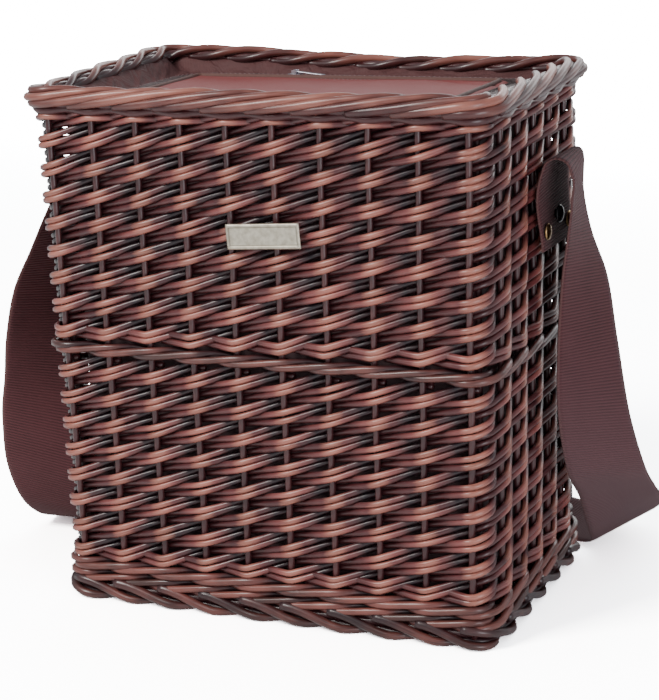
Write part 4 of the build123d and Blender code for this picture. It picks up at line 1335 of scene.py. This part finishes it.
rivet_low, rivet_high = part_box("strap_rivets")
rivet_rows = (rivet_low.y + 0.005, rivet_high.y - 0.005)
rivet_middle = (rivet_low.z + rivet_high.z) / 2
rivet_centres = [(side, row, rivet_middle) for side in (-1, 1) for row in rivet_rows]
rivet_head = 0.002
web_outside = rivet_high.x - rivet_head
rivet_profile = [
    (web_outside - 0.003, 0.00005), (web_outside - 0.003, 0.0038), (web_outside - 0.0021, 0.004),
    (web_outside - 0.002, 0.0015), (web_outside, 0.0015),
]
rivet_profile += domed(web_outside, rivet_head, 0.005)
rivet_brass = polished("rivet_brass", (0.38, 0.24, 0.1), (0.68, 0.47, 0.24), 0.3, 1.0)
strap_rivets = turned("rivets_brass", rivet_centres, rivet_profile)
dress(strap_rivets, rivet_brass, "brass", "strap", "strap_rivets")
stud_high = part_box("strap_studs")[1]
washer_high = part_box("stud_washers")[1]
stud_head = 0.003
stud_seat = stud_high.x - stud_head
stud_profile = [(washer_high.x - 0.0025, 0.00005), (washer_high.x - 0.0025, 0.0035)]
stud_profile += [(washer_high.x - 0.0015, 0.004), (washer_high.x - 0.0015, 0.0025)]
stud_profile += [(stud_seat, 0.0025)] + domed(stud_seat, stud_head, 0.0055)
stud_centres = [(side, stud_place[1], stud_place[2]) for side in (-1, 1)]
stud_enamel = polished("stud_enamel", (0.01, 0.01, 0.011), (0.02, 0.02, 0.022), 0.2, 0.0)
strap_studs = turned("studs_black", stud_centres, stud_profile)
dress(strap_studs, stud_enamel, "black_metal", "basket", "strap_studs")


# Washers and plate pins: plain steel on the inner face of the wall. They keep their simple
# shapes and take on a dull shine.
washer_steel = polished("washer_steel", (0.4, 0.4, 0.41), (0.6, 0.6, 0.6), 0.35, 1.0)
cover(washer_steel, "stud_washers", "plate_pins")


# Front plate: a small bare plate of pale brushed metal with a raised rim and a fine dark
# groove inside it. It sits a little crooked and is pinned through the weave.
plate_low, plate_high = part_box("front_plate")
plate_width, plate_height = 0.0465, 0.0145
plate_tilt = np.radians(3.5)
plate_middle = np.array(((plate_low.x + plate_high.x) / 2, 0, (plate_low.z + plate_high.z) / 2))
plate_across = np.linspace(-1, 1, 61)
plate_up = np.linspace(-1, 1, 25)
plate_half = np.array((plate_width, plate_height)) / 2
across_grid, up_grid = np.meshgrid(
    plate_across * plate_half[0], plate_up * plate_half[1], indexing="ij"
)
edge_gap = np.minimum(plate_half[0] - np.abs(across_grid), plate_half[1] - np.abs(up_grid))
plate_rim = ease(edge_gap, 0.0, 0.0006) - ease(edge_gap, 0.0011, 0.0016)
plate_depth = 0.0009 - 0.0006 * plate_rim
plate_wave = 0.00008 * np.sin(across_grid * 300 + 1) * np.cos(up_grid * 500)
front_side = np.stack([
    plate_middle[0] + across_grid * np.cos(plate_tilt) - up_grid * np.sin(plate_tilt),
    plate_low.y + plate_depth - plate_wave,
    plate_middle[2] + across_grid * np.sin(plate_tilt) + up_grid * np.cos(plate_tilt),
], axis=-1)
plate_metal = Finish("plate_metal")
plate_map = plate_metal.node("ShaderNodeUVMap", uv_map="metres").outputs["UV"]
brush_place = plate_metal.node(
    "ShaderNodeMapping", {"Vector": plate_map, "Scale": (120.0, 4200.0, 1.0)}
)
brush_lines = plate_metal.noise(brush_place.outputs["Vector"], 1.0, 4.0)
plate_tint = plate_metal.ramp(
    plate_metal.noise(plate_map, 260.0, 5.0), (0.3, (0.5, 0.45, 0.35)), (0.62, (0.74, 0.69, 0.57))
)
plate_groove = plate_metal.node("ShaderNodeAttribute", attribute_name="groove").outputs["Fac"]
plate_colour = plate_metal.mix(plate_groove, plate_tint, (0.2, 0.17, 0.12, 1))
plate_shine = plate_metal.level(brush_lines, 0.32, 0.55)
plate_metal.set(Base_Color=plate_colour, Roughness=plate_shine, Metallic=0.75)
plate_metal.bump(brush_lines, 0.00005, 0.4)
front_plate = add_piece(
    "front_plate_metal", front_side[None], across_grid[None], up_grid[None], wrap=False, caps=False
)
groove = np.exp(-((edge_gap - 0.0017) / 0.0003) ** 2).astype(np.float32)
groove_layer = front_plate.data.attributes.new("groove", "FLOAT", "POINT")
groove_layer.data.foreach_set("value", groove.reshape(-1))
thicken(front_plate, 0.0005)
dress(front_plate, plate_metal, "plate_metal", "basket", "front_plate")


# Studio: white paper under and behind the basket, and soft light from the upper left. The
# camera sees the paper overexposed, as the photograph shows it, while the light that the
# paper sends back to the basket stays at its natural strength.
paper_white = 0.9
paper_exposed = 14.0
sky_level = 0.45
sky_exposed = 150.0
floor_mesh = bpy.data.meshes.new("floor")
floor_mesh.from_pydata([(-6, -6, 0), (6, -6, 0), (6, 6, 0), (-6, 6, 0)], [], [(0, 1, 2, 3)])
studio_floor = bpy.data.objects.new("floor", floor_mesh)
bpy.context.collection.objects.link(studio_floor)
paper = Finish("floor_paper")
paper_sight = paper.node("ShaderNodeLightPath").outputs["Is Camera Ray"]
paper_level = paper.level(paper_sight, paper_white, paper_exposed)
paper_diffuse = paper.node("ShaderNodeBsdfDiffuse", {"Color": paper_level})
paper.feed(paper.tree.nodes["Material Output"].inputs["Surface"], paper_diffuse.outputs["BSDF"])
floor_mesh.materials.append(paper.material)
world = bpy.data.worlds.new("studio")
world.use_nodes = True
surround = Nodes(world.node_tree)
sky = world.node_tree.nodes["Background"]
sky.inputs["Color"].default_value = (0.9, 0.95, 1.0, 1)
sky_sight = surround.node("ShaderNodeLightPath").outputs["Is Camera Ray"]
surround.feed(sky.inputs["Strength"], surround.level(sky_sight, sky_level, sky_exposed))
bpy.context.scene.world = world


def soft_light(name, place, aim, size, power, colour):
    """A square area light at a place, turned towards the point that it lights."""
    light = bpy.data.lights.new(name, "AREA")
    light.size = size
    light.energy = power
    light.color = colour
    lamp = bpy.data.objects.new(name, light)
    lamp.location = place
    lamp.rotation_euler = (Vector(place) - Vector(aim)).to_track_quat("Z", "Y").to_euler()
    bpy.context.collection.objects.link(lamp)


soft_light("key", (-0.8, -1.2, 1.5), (0, 0, 0.2), 0.55, 27, (1.0, 0.96, 0.92))
soft_light("right", (1.1, -0.95, 0.3), (0.1, 0, 0.12), 0.6, 6.5, (0.95, 0.95, 1.0))
soft_light("backdrop", (-0.5, 4.0, 1.2), (-0.5, 4.0, 0), 4.0, 130, (1.0, 1.0, 1.0))
